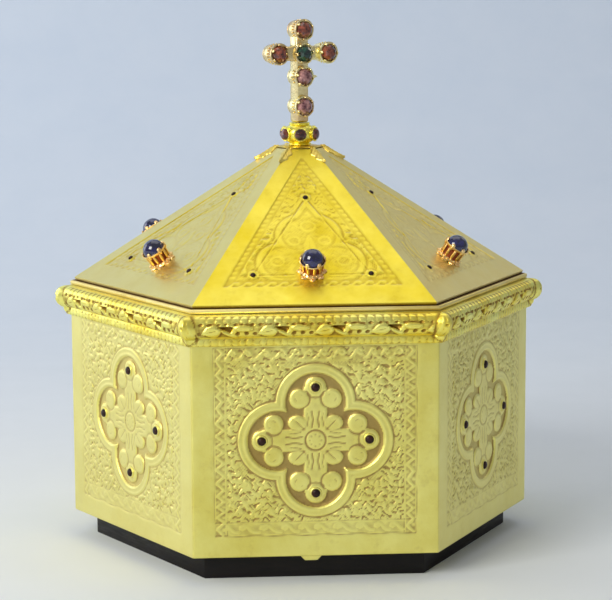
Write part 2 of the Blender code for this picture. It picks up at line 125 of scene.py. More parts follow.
def smooth_under(angle):
    """Smooth shading over the edges under an angle in degrees."""
    bpy.ops.object.shade_smooth_by_angle(angle=radians(angle))


def start_edit(pick=None, kind=None):
    """Edit mode, with the kind of element to pick and everything or nothing picked."""
    bpy.ops.object.mode_set(mode="EDIT")
    if kind:
        bpy.ops.mesh.select_mode(type=kind)
    if pick:
        bpy.ops.mesh.select_all(action=pick)


def end_edit(outward=False):
    """Back to object mode, where asked with all faces turned outwards."""
    if outward:
        bpy.ops.mesh.select_all(action="SELECT")
        bpy.ops.mesh.normals_make_consistent(inside=False)
    bpy.ops.object.mode_set(mode="OBJECT")


def pick_only(piece):
    deselect()
    bpy.context.view_layer.objects.active = piece
    piece.select_set(True)


def tidy_mesh(piece, smooth=None):
    """Merges doubles, turns faces outwards and smooths edges under the given angle."""
    pick_only(piece)
    start_edit("SELECT")
    bpy.ops.mesh.remove_doubles(threshold=DOUBLES)
    end_edit(outward=True)
    if smooth is not None:
        smooth_under(smooth)


def fit_out(piece, name, material, slot, *nodes):
    piece.name = name
    piece.data.name = name
    piece.data.materials.clear()
    piece.data.materials.append(material)
    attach(piece, "root")
    if nodes:
        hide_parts(*nodes)
    return piece


def copy_to(piece, matrix):
    """A copy with its own mesh, whose place is in that mesh."""
    copy = piece.copy()
    copy.data = piece.data.copy()
    bpy.context.collection.objects.link(copy)
    copy.data.transform(matrix)
    return copy


def remove_patterns(*pieces):
    for piece in pieces:
        bpy.data.objects.remove(piece)


def join_up(pieces):
    deselect()
    for piece in pieces:
        piece.select_set(True)
    bpy.context.view_layer.objects.active = pieces[0]
    bpy.ops.object.join()
    return pieces[0]


# Relief curves.

def ease(low, high, value):
    t = np.clip((value - low) / (high - low), 0.0, 1.0)
    return t * t * (3.0 - 2.0 * t)


def cord(distance, half_width):
    """1 on a line and 0 half_width away from it."""
    t = np.clip(1.0 - np.abs(distance) / half_width, 0.0, 1.0)
    return t * t * (3.0 - 2.0 * t)


def pad(distance, roundness):
    """0 outside a shape, rising inside it to 1 over a rounded edge."""
    t = np.clip(-distance / roundness, 0.0, 1.0)
    return np.sqrt(t * (2.0 - t))


def to_path(x, y, points):
    """Distance to a line through the points."""
    nearest = np.full(x.shape, 1e3)
    for (ax, ay), (bx, by) in zip(points, points[1:]):
        dx, dy = bx - ax, by - ay
        t = np.clip(((x - ax) * dx + (y - ay) * dy) / (dx * dx + dy * dy), 0.0, 1.0)
        nearest = np.minimum(nearest, np.hypot(x - ax - t * dx, y - ay - t * dy))
    return nearest


def leaf(x, y, foot, turn, length, width):
    """A pointed leaf with a sunk midrib, from its foot on, 0 to 1 high."""
    a = (x - foot[0]) * cos(turn) + (y - foot[1]) * sin(turn)
    b = (y - foot[1]) * cos(turn) - (x - foot[0]) * sin(turn)
    along = np.clip(a / length, 0.0, 1.0)
    half = np.maximum(width / 2 * np.sin(pi * along ** 0.75), 1e-3)
    body = np.sqrt(np.clip(1.0 - (b / half) ** 2, 0.0, 1.0)) * np.minimum(half / 0.8, 1.0)
    return body * (1.0 - 0.45 * cord(b, 0.55))


def stem_points(start, bend, end, count):
    points = []
    for step in range(count + 1):
        t = step / count
        points.append(tuple((1 - t) ** 2 * a + 2 * t * (1 - t) * b + t * t * c
                            for a, b, c in zip(start, bend, end)))
    return points


def sprig(x, y, start, bend, end, leaves, length, width):
    """A curved stem with a leaf to each side at every step and one at its end."""
    points = stem_points(start, bend, end, leaves)
    height = 0.7 * cord(to_path(x, y, points), 0.9)
    for step in range(1, leaves + 1):
        (ax, ay), (bx, by) = points[step - 1], points[step]
        heading = atan2(by - ay, bx - ax)
        size = length * (1.0 - 0.35 * step / leaves)
        for side in (-1, 1):
            height = np.maximum(height, leaf(x, y, (ax, ay), heading + side * 0.95, size, width))
    return np.maximum(height, leaf(x, y, points[-1], heading, length, width))


def sprays(x, y, sprigs):
    height = np.zeros(x.shape)
    for values in sprigs:
        height = np.maximum(height, sprig(x, y, *values))
    return height


def curls(along, aside, pitch, half_width):
    """A row of leaning curls, each growing out of the one before."""
    phase = np.mod(along, pitch) / pitch
    wave = [(-0.50, -0.90), (-0.30, -0.80), (-0.12, -0.30), (0.02, 0.45), (0.20, 0.90), (0.38, 0.62),
            (0.42, 0.15), (0.28, -0.10), (0.17, 0.15)]
    height = np.zeros(along.shape)
    for shift in (-1.0, 0.0, 1.0):
        points = [((a + 0.5 + shift) * pitch, b * half_width) for a, b in wave]
        height = np.maximum(height, cord(to_path(phase * pitch, aside, points), 1.15))
    return height


def beads(along, aside, pitch, radius):
    off = np.mod(along, pitch) - pitch / 2
    return np.sqrt(np.clip(1.0 - (off ** 2 + aside ** 2) / radius ** 2, 0.0, 1.0))


def undulation(x, y, seed):
    """The slow waviness of hammered sheet, about -1 to 1."""
    swell = np.sin(x * 0.071 + seed) * np.cos(y * 0.083 - 1.7 * seed)
    swell += 0.6 * np.sin(x * 0.19 - y * 0.13 + 2.1 * seed)
    return (swell + 0.4 * np.cos(x * 0.31 + y * 0.27 + 0.7 * seed)) / 2.0


def squiggles(x, y, seed):
    """Short meandering chased lines, 0 in their grooves and 1 between them."""
    bent = x + 1.4 * np.sin(0.50 * y + seed) + 0.5 * np.sin(1.3 * x - 0.9 * y)
    risen = y + 1.5 * np.sin(0.52 * x + 2.0 * seed) + 0.8 * np.sin(1.05 * x + 0.5 * y)
    groove = 1.0 - ease(0.12, 0.72, np.abs(np.sin(1.0 * risen + 0.8 * np.sin(0.3 * bent))))
    broken = ease(-0.45, 0.25, np.sin(0.62 * bent + 1.9 * np.sin(0.7 * risen) + seed))
    return 1.0 - groove * broken


def uneven(x, y):
    """How deep the chaser's hand went, from place to place."""
    return 0.95 + 0.22 * np.sin(x * 0.37 + 0.9) * np.cos(y * 0.29) + 0.16 * np.sin(x * 0.91 + y * 0.53)


# Chased wall panel.

def quatrefoil_distance(x, y):
    lobes = np.full(x.shape, 1e3)
    for cx, cy in ((1, 0), (0, 1), (-1, 0), (0, -1)):
        lobes = np.minimum(lobes, np.hypot(x - FOIL_SPACING * cx, y - FOIL_SPACING * cy) - FOIL_RADIUS)
    return np.minimum(lobes, np.maximum(np.abs(x), np.abs(y)) - FOIL_NOTCH)


def chased_cross(x, y):
    """The cross with three-lobed ends that stands in the quatrefoil, 0 to 1 high."""
    wide = np.abs(x)
    high = np.abs(y)
    arm = np.maximum(np.minimum(wide, high) - 7.4, np.maximum(wide, high) - 33.0)
    height = 0.88 * pad(arm, 1.8)
    for cx, cy in ((1, 0), (0, 1), (-1, 0), (0, -1)):
        a = x * cx + y * cy
        b = -x * cy + y * cx
        off = np.abs(b)
        side = (np.hypot((a - 25.6) / 1.06, (off - 9.8) / 1.12) - 6.0) * 1.08
        end = np.hypot(a - STONE_OUT, b) - 6.8
        height = np.maximum(height, pad(side, 2.6))
        height = np.maximum(height, 0.96 * pad(end, 2.2))
        parting = cord(side + 0.2, 0.8) * (off < 6.4) * (a < 30.5)
        tip = cord(end + 0.3, 0.7) * (a < 31.0) * (off < 5.2)
        veins = cord(to_path(a, off, [(8.0, 2.2), (13.0, 1.4), (18.0, 2.4)]), 0.7)
        bars = cord(to_path(a, off, [(9.0, 5.0), (14.0, 4.2), (17.0, 5.0)]), 0.6)
        curl = cord(np.hypot(a - 26.6, off - 10.2) - 2.6, 0.6) * (a + off > 35.5)
        stud = cord(np.hypot(a - STONE_OUT, b) - 4.2, 0.8)
        height -= 0.24 * parting + 0.18 * tip + 0.24 * veins + 0.18 * bars + 0.16 * curl - 0.14 * stud
    petal = np.hypot((wide - 10.6) / 1.15, (high - 10.4) / 0.92) - 5.7
    height = np.maximum(height, 0.92 * pad(petal, 2.2))
    middle = np.hypot(x, y)
    crease = 0.20 * cord((wide - high) * 0.707, 0.6)
    height -= crease * (middle > 10.0) * (petal < -0.8)
    height -= 0.30 * cord(middle - 6.2, 0.9) - 0.10 * pad(middle - 5.4, 3.0)
    petals = 0.5 + 0.5 * np.cos(8.0 * np.arctan2(y, x))
    return height - 0.16 * petals * cord(middle - 3.6, 1.5)


# Each corner spray: its start, bend and end, how many leaves, their length and width.
CORNER_SPRIGS = (
    ((27.5, 27.5), (36.0, 43.0), (15.0, 45.5), 7, 6.2, 2.7),
    ((27.5, 27.5), (47.0, 35.0), (50.5, 11.0), 8, 6.2, 2.7),
    ((28.0, 28.0), (38.0, 33.0), (50.0, 45.5), 6, 5.8, 2.6),
    ((36.0, 33.0), (47.0, 31.0), (51.5, 22.0), 5, 5.2, 2.3),
    ((34.0, 36.0), (35.0, 44.0), (23.0, 46.5), 5, 5.2, 2.3),
    ((42.0, 37.0), (41.0, 45.0), (33.0, 46.5), 4, 5.0, 2.2),
    ((44.0, 37.0), (51.0, 38.0), (51.5, 29.0), 4, 5.0, 2.2),
    ((46.0, 42.0), (51.0, 42.0), (52.0, 37.0), 3, 4.2, 2.0))

# Each chased line of a wall's frame: how far up or out it runs, and its depth.
LEVEL_LINES = ((13.2, 0.30), (21.7, 0.22), (120.3, 0.08), (129.4, 0.20))
UPRIGHT_LINES = ((54.2, 0.12), (61.5, 0.20))


def corner_foliage(x, y):
    """Leafy sprays that fill a corner outside the quatrefoil, 0 to 1 high; x and y from its middle."""
    x = np.abs(x)
    y = np.abs(y)
    height = np.maximum(sprays(x, y, CORNER_SPRIGS), 0.9 * pad(np.hypot(x - 39.0, y - 36.0) - 2.2, 1.4))
    clear = ease(6.0, 7.2, quatrefoil_distance(x, y))
    return height * (clear * (1.0 - ease(52.2, 53.2, x)) * (1.0 - ease(46.6, 47.4, y)))


def wall_relief(x, v, seed):
    """Height of a wall's chasing over its plain face, in millimetres."""
    across = np.abs(x)
    y = v - PANEL_MIDDLE
    around = quatrefoil_distance(x, y)
    sunk = 1.0 - ease(-0.9, 0.15, around)
    height = -FOIL_DEPTH * sunk
    height += sunk * CHASED_RELIEF * chased_cross(x, y)
    band = ease(0.0, 0.9, around) * (1.0 - ease(BAND_WIDTH - 0.9, BAND_WIDTH, around))
    height += BAND_RELIEF * band * (0.6 - 0.34 * cord(around - 2.9, 2.3)) * (0.7 + 0.3 * uneven(y, x))
    height -= 0.34 * cord(around - BAND_WIDTH - 0.4, 0.8) * uneven(x, v)
    inside = (around > BAND_WIDTH + 0.3) & (across < 53.6) & (v > 21.8) & (v < 120.2)
    ground = inside * ease(BAND_WIDTH + 0.3, BAND_WIDTH + 1.6, around)
    foliage = corner_foliage(x, y)
    height += ground * (-0.62 + 0.48 * foliage + 0.56 * squiggles(x, v, seed))
    pricks = np.sin(x * 3.1 + 0.6 * np.sin(v * 1.3)) * np.sin(v * 2.9 + 0.7 * np.sin(x * 1.1))
    height += 0.09 * ground * pricks

    column = ease(0.0, 1.0, 3.35 - np.abs(across - COLUMN_MIDDLE)) * ((v > 13.6) & (v < 129.2))
    climb = v + 1.6 * np.sign(x) + 1.1 * np.sin(0.17 * v + seed)
    tick = np.abs(np.mod(climb, 7.5) / 7.5 * 2.0 - 1.0) * 2.0 - 1.0
    aside = across - COLUMN_MIDDLE
    zigzag = cord((aside - 2.2 * tick + 0.4 * np.sin(0.9 * v)) * 0.62, 1.2)
    drops = beads(climb, aside - 1.9, 7.5, 1.2) + beads(climb + 3.75, aside + 1.9, 7.5, 1.2)
    height += column * (-0.26 + 0.42 * zigzag + 0.16 * drops) * uneven(v, x)

    top = ease(0.0, 1.0, 4.3 - np.abs(v - TOP_ROW)) * (across < 54.2)
    wander = x + 1.6 * np.sin(0.13 * x + seed)
    height += top * (-0.20 + 0.50 * curls(wander, v - TOP_ROW, 9.2, 3.2)) * uneven(x, v)
    height += top * (0.40 * squiggles(x, v, seed + 1.0) - 0.30)
    low = ease(0.0, 1.0, 3.9 - np.abs(v - LOW_ROW)) * (across < 54.2)
    height += low * (-0.12 + 0.28 * curls(-wander, v - LOW_ROW, 11.4, 2.5)) * uneven(x, v)

    for level, depth in LEVEL_LINES:
        line = cord(v - level - 0.2 * np.sin(0.3 * x), 0.75) * (across < 61.6)
        height -= depth * line * uneven(x, v)
    shift = 0.25 * np.sin(0.21 * v + seed)
    for reach, depth in UPRIGHT_LINES:
        line = cord(across - reach - shift, 0.7) * ((v > 13.2) & (v < 129.4))
        height -= depth * line * uneven(x, v)

    quiet = ease(0.5, 9.0, 75.0 - across) * ease(0.5, 6.0, v)
    height += 0.07 * quiet * undulation(x, v, seed)
    return height - 0.22 * (1.0 - ease(0.0, 0.7, 75.0 - across)) - 0.25 * (1.0 - ease(0.0, 0.6, v))


# Chased roof panel.

# Each roof spray, given in the same way as the corner ones.
ROOF_SPRIGS = (
    ((5.0, 81.0), (17.0, 70.0), (28.0, 45.0), 8, 6.2, 3.0),
    ((22.0, 60.0), (34.0, 50.0), (41.0, 32.0), 5, 6.0, 3.0),
    ((2.0, 99.0), (7.0, 104.0), (3.0, 124.0), 6, 5.4, 2.6),
    ((40.0, 29.0), (44.0, 30.0), (49.0, 23.5), 3, 4.6, 2.2))


def roof_half(v):
    return 73.56 * (1.0 - v / (SLOPE_LENGTH / MM))


def trefoil_arch(x, v):
    """Distance to the edge of the three-lobed arch that stands over the gem."""
    across = np.abs(x)
    lobes = np.minimum(np.hypot(x, v - 60.0) - 17.0, np.hypot(across - 15.5, v - 36.0) - 14.5)
    point = np.maximum(across * 0.86 + (v - 86.0) * 0.5, 60.0 - v)
    return np.maximum(np.minimum(lobes, point), 19.0 - v)


def roof_relief(x, v, seed):
    """Height of the roof's chasing over its plain face, in millimetres."""
    across = np.abs(x)
    edge = (roof_half(v) - across) * 0.9063
    field = ease(0.0, 0.8, edge - 10.0) * ease(0.0, 0.8, v - 15.0) * (1.0 - ease(131.0, 133.0, v))
    height = -0.4 * field
    border = field * (1.0 - ease(4.2, 4.8, np.minimum(edge - 10.0, v - 15.0)))
    height += 0.20 * border * beads(v, edge - 12.4, 4.2, 1.5) * (v > 20.5)
    height += 0.40 * border * curls(x, v - 17.4, 7.4, 1.7) * (edge > 13.5)
    height -= 0.10 * field * cord(np.minimum(edge - 15.0, v - 20.3), 0.8) * uneven(x, v)
    frame_line = to_path(across, v, [(0.0, 25.5), (36.0, 25.5), (0.0, 94.5)])
    ridge = 0.16 * cord(frame_line - 0.9, 0.8) - 0.26 * cord(frame_line, 0.7)
    height += field * ridge * uneven(v, x)

    arch = trefoil_arch(x, v)
    inner = field * ease(20.5, 21.2, v) * ease(15.4, 16.2, edge)
    moulding = 0.34 * inner * cord(arch - 1.6, 2.2)
    height += moulding * (1.0 - 0.6 * cord(arch - 1.6, 0.8)) * uneven(x, v)
    height -= 0.22 * inner * cord(arch - 4.4, 0.8)
    outside = inner * ease(4.8, 5.8, arch)
    height += outside * (-0.26 + 0.50 * sprays(across, v, ROOF_SPRIGS) + 0.26 * squiggles(x, v, seed))
    within = inner * (1.0 - ease(-2.2, -1.2, arch))
    rings = cord(np.hypot(across - 9.5, v - 55.0) - 3.6, 0.9) + cord(np.hypot(x, v - 68.0) - 4.4, 1.0)
    rings = rings + cord(np.hypot(across - 20.5, v - 37.0) - 4.0, 0.9)
    tongue = leaf(x, v, (0.0, 42.0), pi / 2, 18.0, 8.0)
    height += within * (0.22 * np.maximum(rings, tongue) + 0.10 * squiggles(x, v, seed + 2.0))
    pricks = np.sin(x * 3.3 + 0.7 * np.sin(v * 1.2)) * np.sin(v * 3.0 + 0.6 * np.sin(x * 1.4))
    height += 0.07 * inner * pricks

    seat = 1.0 - ease(10.6, 11.8, np.hypot(x, v - GEM_UP))
    height = height * (1.0 - seat) - 0.4 * seat
    for px, pv in PINHEADS:
        away = np.hypot(x - px, v - pv)
        clear = ease(1.8, 3.2, away)
        height = height * clear - 0.35 * (1.0 - clear) + 0.5 * cord(away - 2.9, 0.9)
    quiet = ease(0.5, 8.0, edge) * ease(1.0, 8.0, v)
    return height + 0.06 * quiet * undulation(x, v, seed)


# Sheets with relief.

def store_recess(mesh, heights, order, shape, reach):
    """Keeps how far each vertex lies below its surroundings, for the tarnish and painted shade in the
    hollows.
    """
    grid = heights[order].reshape(shape)
    mean = np.zeros(shape)
    padded = np.pad(grid, reach, mode="edge")
    for row in range(2 * reach + 1):
        for column in range(2 * reach + 1):
            mean += padded[row:row + shape[0], column:column + shape[1]]
    mean /= (2 * reach + 1) ** 2
    # Tarnish and painted shade grow with depth below the surroundings; all that lies below the face gets
    # extra painted shade; negative values mark the crests.
    hollow = np.clip((mean - grid) / 0.42, -1.0, 1.0) + 0.60 * np.clip(-grid / FOIL_DEPTH, 0.0, 1.0)
    values = np.empty(len(heights), dtype=np.float32)
    values[order] = hollow.ravel()
    layer = mesh.attributes.new("recess", "FLOAT", "POINT")
    layer.data.foreach_set("value", values)


def add_grid(columns, rows):
    """A flat grid; returns it with each vertex's share of the way across and up."""
    deselect()
    bpy.ops.mesh.primitive_grid_add(x_subdivisions=columns, y_subdivisions=rows, size=1)
    piece = bpy.context.object
    count = len(piece.data.vertices)
    places = np.empty(count * 3)
    piece.data.vertices.foreach_get("co", places)
    places = places.reshape(count, 3)
    s = places[:, 0] + 0.5
    t = places[:, 1] + 0.5
    order = np.lexsort((np.round(s, 6), np.round(t, 6)))
    wide = int(round(np.sum(np.abs(t - t.min()) < 1e-6)))
    return piece, s, t, order, (count // wide, wide)


def set_places(piece, x, y, z):
    piece.data.vertices.foreach_set("co", np.stack((x, y, z), axis=1).astype(np.float32).ravel())
    piece.data.update()


def close_back(piece, depth, narrower):
    """Draws the rim of a sheet back by its thickness, mitred, and fills the back."""
    pick_only(piece)
    start_edit("DESELECT", "EDGE")
    bpy.ops.mesh.select_non_manifold()
    bpy.ops.mesh.extrude_edges_move(TRANSFORM_OT_translate={"value": (0, 0, -depth)})
    bpy.ops.transform.resize(value=(narrower, 1, 1), center_override=(0, 0, 0))
    bpy.ops.mesh.edge_face_add()
    end_edit(outward=True)


def make_wall(index, material):
    """One wall with the chased panel, its grid fine over the panel and coarse at the plain margins."""
    piece, s, t, order, shape = add_grid(196, 176)
    x = np.interp(s, (0, 0.010, 0.04, 0.96, 0.990, 1), (-75, -74.2, -62.5, 62.5, 74.2, 75))
    v = np.interp(t, (0, 0.010, 0.05, 0.965, 1), (0, 0.8, 12.0, 130.6, WALL_HEIGHT / MM))
    height = wall_relief(x, v, 1.0 + index)
    store_recess(piece.data, height, order, shape, 4)
    x = x * (1.0 + height * MM / WALL_FACE)
    set_places(piece, x * MM, v * MM, height * MM)
    close_back(piece, WALL_SHEET, (WALL_FACE - WALL_SHEET) / WALL_FACE)
    smooth_under(50)
    piece.data.transform(face_frame(index, WALL_FACE, BOX_Z))
    return fit_out(piece, f"wall_{index + 1}", material, "walls", "body")


def make_roof_face(index, material):
    """One face of the roof; the first row of its grid is the foot of its upright edge."""
    piece, s, t, order, shape = add_grid(150, 150)
    row = t * (shape[0] - 1) - 1.0
    top = SLOPE_LENGTH / MM * (1 - ROOF_FLAT / ROOF_RADIUS)
    v = np.interp(row, (0, 1, 18, shape[0] - 2), (0, 0.5, 14.0, top))
    x = (2.0 * s - 1.0) * roof_half(v)
    height = roof_relief(x, v, 3.0 + index)
    foot = row < -0.5
    height = np.where(foot, 0.0, height)
    # The foot row gets a low height here for its colour only: painted shade along the roof's lower edge.
    store_recess(piece.data, np.where(foot, -1.6, height), order, shape, 3)
    v = np.where(foot, -ROOF_EDGE / MM * sin(ROOF_SLOPE), v)
    z = np.where(foot, -ROOF_EDGE / MM * cos(ROOF_SLOPE), height)
    set_places(piece, x * MM, v * MM, z * MM)
    close_back(piece, ROOF_SHEET, 1.0 - tan(pi / SIDES) * ROOF_SHEET * sin(ROOF_SLOPE) / (ROOF_RADIUS / 2))
    smooth_under(50)
    piece.data.transform(roof_frame(index))
    return fit_out(piece, f"roof_face_{index + 1}", material, "roof", "roof")


# Cast cornice.

# The moulding's section in millimetres: how far out of the wall, and how high over its lower edge.
ROLL_OUTS = (0.3, 2.2, 2.6, 2.6, 2.4, 3.1, 4.6, 5.9, 6.7, 7.0, 7.0, 6.5, 5.7, 4.5, 3.0, 1.4, 0.3)
ROLL_HEIGHTS = (0.1, 0.0, 0.4, 4.4, 4.9, 5.2, 6.1, 7.7, 9.8, 11.8, 13.2, 15.1, 16.8, 17.9, 18.5, 18.8, 18.9)
LEAF_PITCH = 32.3
FIRST_LEAF = 52.0
BEAD_PITCH = 4.85


def cornice_relief(s, h):
    """How far the cast leaves stand out of the moulding, in millimetres; s from the middle of a side."""
    roll = ease(5.2, 6.4, h) * (1.0 - ease(18.2, 18.9, h))
    band = ease(0.0, 0.5, h) * (1.0 - ease(4.6, 5.1, h))
    corner = 75.0 - np.abs(s)
    along = np.mod(s + FIRST_LEAF + LEAF_PITCH / 2, LEAF_PITCH) - LEAF_PITCH / 2
    free = ease(7.0, 8.5, corner)
    height = roll * free * 0.38 * beads(s, h - 16.2, BEAD_PITCH, 2.4) * uneven(s, h)
    chance = 0.5 + 0.35 * np.sin(0.83 * s + 1.0) + 0.25 * np.sin(1.9 * s)
    between = np.hypot((np.mod(s, BEAD_PITCH) - BEAD_PITCH / 2) * 0.62, h - 14.0)
    height -= roll * free * 1.5 * chance * cord(between, 1.2)
    slant = along - 0.8 * (12.4 - h)
    pocket = np.maximum(np.abs(slant) - 1.15 * (h - 8.2), h - 12.4) * 0.8
    first = ease(-60.0, -58.0, s)
    height -= 2.4 * roll * first * (1.0 - ease(-0.9, 0.3, pocket))
    lead = leaf(along, h, (-2.2, 10.8), pi + 0.22, 11.5, 8.2)
    tail = leaf(along, h, (-2.0, 11.2), -0.62, 12.0, 3.2)
    crest = leaf(along, h, (5.4, 11.9), -0.06, 12.5, 4.2)
    height += roll * free * (0.95 * np.maximum(np.maximum(lead, crest), tail) - 0.35)
    for place in (7.2, 12.2, -15.2):
        pit = cord(np.hypot(along - place, (h - 8.1) * 1.1), 1.5)
        height -= 1.7 * roll * free * pit * uneven(s, h)
    scales = leaf(np.mod(s, 4.1) - 2.05, h, (0.0, 0.2), pi / 2, 4.6, 3.9)
    height += band * (0.26 * scales + 0.16 * squiggles(s, h, 0.4) - 0.14) * uneven(s, 3.0 * h)
    standing = np.clip(1.0 - (corner / 6.4) ** 2 - ((h - 10.2) / 8.6) ** 2, 0.0, 1.0)
    veins = 0.35 * cord(np.mod(corner + 0.3 * h, 2.4) - 1.2, 0.7) * (corner > 1.2) * (standing > 0.08)
    height += 2.0 * np.sqrt(standing) * (h > 1.0) - veins
    return np.minimum(height, 8.75 - np.interp(h, ROLL_HEIGHTS[1:], ROLL_OUTS[1:]))


def make_cornice(material):
    """The cast leaf moulding as one ring: a grid wrapped around the walls and over the moulding's section."""
    piece, s, t, order, shape = add_grid(1170, 42)
    side = s * SIDES
    index = np.minimum(np.floor(side + 1e-9), SIDES - 1)
    along = (side - index - 0.5) * WALL_SIDE / MM
    heights = np.array(ROLL_HEIGHTS)
    outs = np.array(ROLL_OUTS)
    length = np.concatenate(([0.0], np.cumsum(np.hypot(np.diff(outs), np.diff(heights)))))
    share = t * length[-1]
    h = np.interp(share, length, heights)
    out = np.interp(share, length, outs)
    lean = np.interp(share, length, np.arctan2(np.gradient(heights), np.gradient(outs)))
    relief = cornice_relief(along, h)
    relief = np.where((t < 0.02) | (t > 0.985), 0.0, relief)
    store_recess(piece.data, relief, order, shape, 3)
    wide = out + relief * np.sin(np.clip(lean, 0.35, pi - 0.35))
    high = h - relief * np.cos(np.clip(lean, 0.35, pi - 0.35)) * 0.6
    high = np.clip(high, 0.0, 18.9)
    wide = np.maximum(wide, 0.3)
    x = along * (1.0 + wide * MM / WALL_FACE) * MM
    y = -(WALL_FACE + wide * MM)
    turn = index * 2 * pi / SIDES
    set_places(piece, *turned_about(x, y, turn), CORNICE_Z + high * MM)
    pick_only(piece)
    start_edit("SELECT", "EDGE")
    bpy.ops.mesh.remove_doubles(threshold=DOUBLES)
    bpy.ops.mesh.select_all(action="DESELECT")
    bpy.ops.mesh.select_non_manifold()
    bpy.ops.mesh.bridge_edge_loops()
    end_edit(outward=True)
    smooth_under(60)
    return fit_out(piece, "leaf_cornice", material, "casting", "cornice")


# Turned and plain pieces.

def turned(profile, steps, closed, smooth=None):
    """A profile of (radius, height) points spun about the upright axis; the first step lies on X."""
    deselect()
    bpy.ops.mesh.primitive_circle_add(vertices=len(profile), radius=1, fill_type="NOTHING")
    piece = bpy.context.object
    for vertex, (radius, height) in zip(piece.data.vertices, profile):
        vertex.co = (radius, 0, height)
    if not closed:
        for vertex in piece.data.vertices:
            vertex.select = False
        for edge in piece.data.edges:
            edge.select = set(edge.vertices) == {0, len(profile) - 1}
        start_edit(kind="EDGE")
        bpy.ops.mesh.delete(type="EDGE_FACE")
        end_edit()
    start_edit("SELECT")
    bpy.ops.mesh.spin(steps=steps, angle=2 * pi, center=(0, 0, 0), axis=(0, 0, 1))
    end_edit()
    tidy_mesh(piece, smooth)
    return piece


def bevel_edges(piece, width, segments=2):
    pick_only(piece)
    bevel = piece.modifiers.new("eased", "BEVEL")
    bevel.width = width
    bevel.segments = segments
    bevel.limit_method = "ANGLE"
    bevel.angle_limit = radians(25)
    bpy.ops.object.modifier_apply(modifier="eased")


def make_box_floor(material):
    """The floor between the walls, with a shallow sunk middle."""
    radius = WALL_SIDE - (WALL_SHEET + 0.0001) / cos(pi / SIDES)
    top = BOX_Z + FLOOR_SHEET
    sunk = top - 0.0006
    profile = [(0.0, BOX_Z), (radius, BOX_Z), (radius, top), (0.9 * radius, top), (0.89 * radius, sunk),
               (0.0, sunk)]
    piece = turned(profile, SIDES, False, 20)
    return fit_out(piece, "box_floor", material, "walls", "body")


def make_front_lip(material):
    """The small rounded tab under the front wall."""
    deselect()
    middle = (-0.003, -WALL_FACE + 0.0016)
    size = (0.0134, 0.0026, 0.0031)
    bpy.ops.mesh.primitive_cube_add(size=1, location=(*middle, BOX_Z - 0.00145), scale=size)
    piece = bpy.context.object
    bpy.ops.object.transform_apply(location=True, rotation=True, scale=True)
    start_edit("DESELECT")
    end_edit()
    for face in piece.data.polygons:
        face.select = face.normal.z < -0.9
    start_edit(kind="FACE")
    bpy.ops.transform.resize(value=(0.57, 0.85, 1), center_override=(*middle, BOX_Z - 0.003))
    end_edit()
    bevel_edges(piece, 0.0006, 3)
    smooth_under(40)
    return fit_out(piece, "front_lip", material, "walls", "body")


def make_roof_foot(material):
    """The foot under the roof's edge and the flange that drops into the box."""
    foot = ROOF_RADIUS - 0.003 / cos(pi / SIDES)
    under = EAVE_Z - ROOF_EDGE - 0.0004
    seat = RIM_TOP + GAP
    inner = FLANGE - 0.0023
    low = RIM_TOP - FLANGE_DROP
    profile = [(foot, seat), (foot, under), (inner, under + 0.0025), (inner, low), (FLANGE, low),
               (FLANGE, seat)]
    piece = turned(profile, SIDES, True, 20)
    return fit_out(piece, "roof_foot", material, "roof", "roof")


def make_plinth(material):
    """The low dark block under the walls, its arrises eased."""
    edge = PLINTH_RADIUS
    top = PLINTH_HEIGHT
    profile = [(0.0, 0.0), (edge - 0.0006, 0.0), (edge, 0.0006), (edge, top - 0.0012),
               (edge - 0.0003, top - 0.0004), (edge - 0.0012, top), (0.0, top)]
    piece = turned(profile, SIDES, False, 50)
    return fit_out(piece, "plinth_block", material, "plinth", "plinth")


def make_rim(material):
    """The thin plate between cornice and roof, with a rounded outer edge and a top darkened as painted shade
    under the roof's edge.
    """
    edge = WALL_SIDE
    profile = [(RIM_HOLE, RIM_Z), (edge - 0.0006, RIM_Z), (edge, RIM_Z + 0.0005), (edge, RIM_TOP - 0.0008),
               (edge - 0.0003, RIM_TOP - 0.0003), (edge - 0.0009, RIM_TOP), (edge - 0.0022, RIM_TOP),
               (RIM_HOLE, RIM_TOP)]
    piece = turned(profile, SIDES, True, 50)
    places = np.empty(3 * len(piece.data.vertices))
    piece.data.vertices.foreach_get("co", places)
    places = places.reshape(-1, 3)
    # Painted shade: the top darkens from 0.6 to 2 mm inward of its outer edge, under the roof's edge.
    inward = WALL_SIDE - np.hypot(places[:, 0], places[:, 1])
    hollow = ease(0.0006, 0.002, inward) * (places[:, 2] > RIM_TOP - 0.0002)
    layer = piece.data.attributes.new("recess", "FLOAT", "POINT")
    layer.data.foreach_set("value", hollow.astype(np.float32))
    return fit_out(piece, "rim_strip", material, "rim", "rim_plate")


# Stones and settings.

def in_metres(profile, lift=0.0):
    return [(radius * MM, lift + height * MM) for radius, height in profile]


def add_drop(centre, size, turn=0.0, tilt=0.0, segments=10, rings=6):
    """A small rounded lump: its place and half sizes in millimetres, turned about the upright axis."""
    deselect()
    bpy.ops.mesh.primitive_uv_sphere_add(segments=segments, ring_count=rings, radius=1)
    drop = bpy.context.object
    place = turn_z(turn) @ Matrix.Translation(Vector(centre) * MM) @ Matrix.Rotation(tilt, 4, "Y")
    drop.data.transform(place @ Matrix.Diagonal((*[half * MM for half in size], 1)))
    return drop


def bead_ring(out, height, radius, count):
    size = (radius, radius, radius)
    return [add_drop((out, 0, height), size, bead * 2 * pi / count, 0.0, 8, 5) for bead in range(count)]


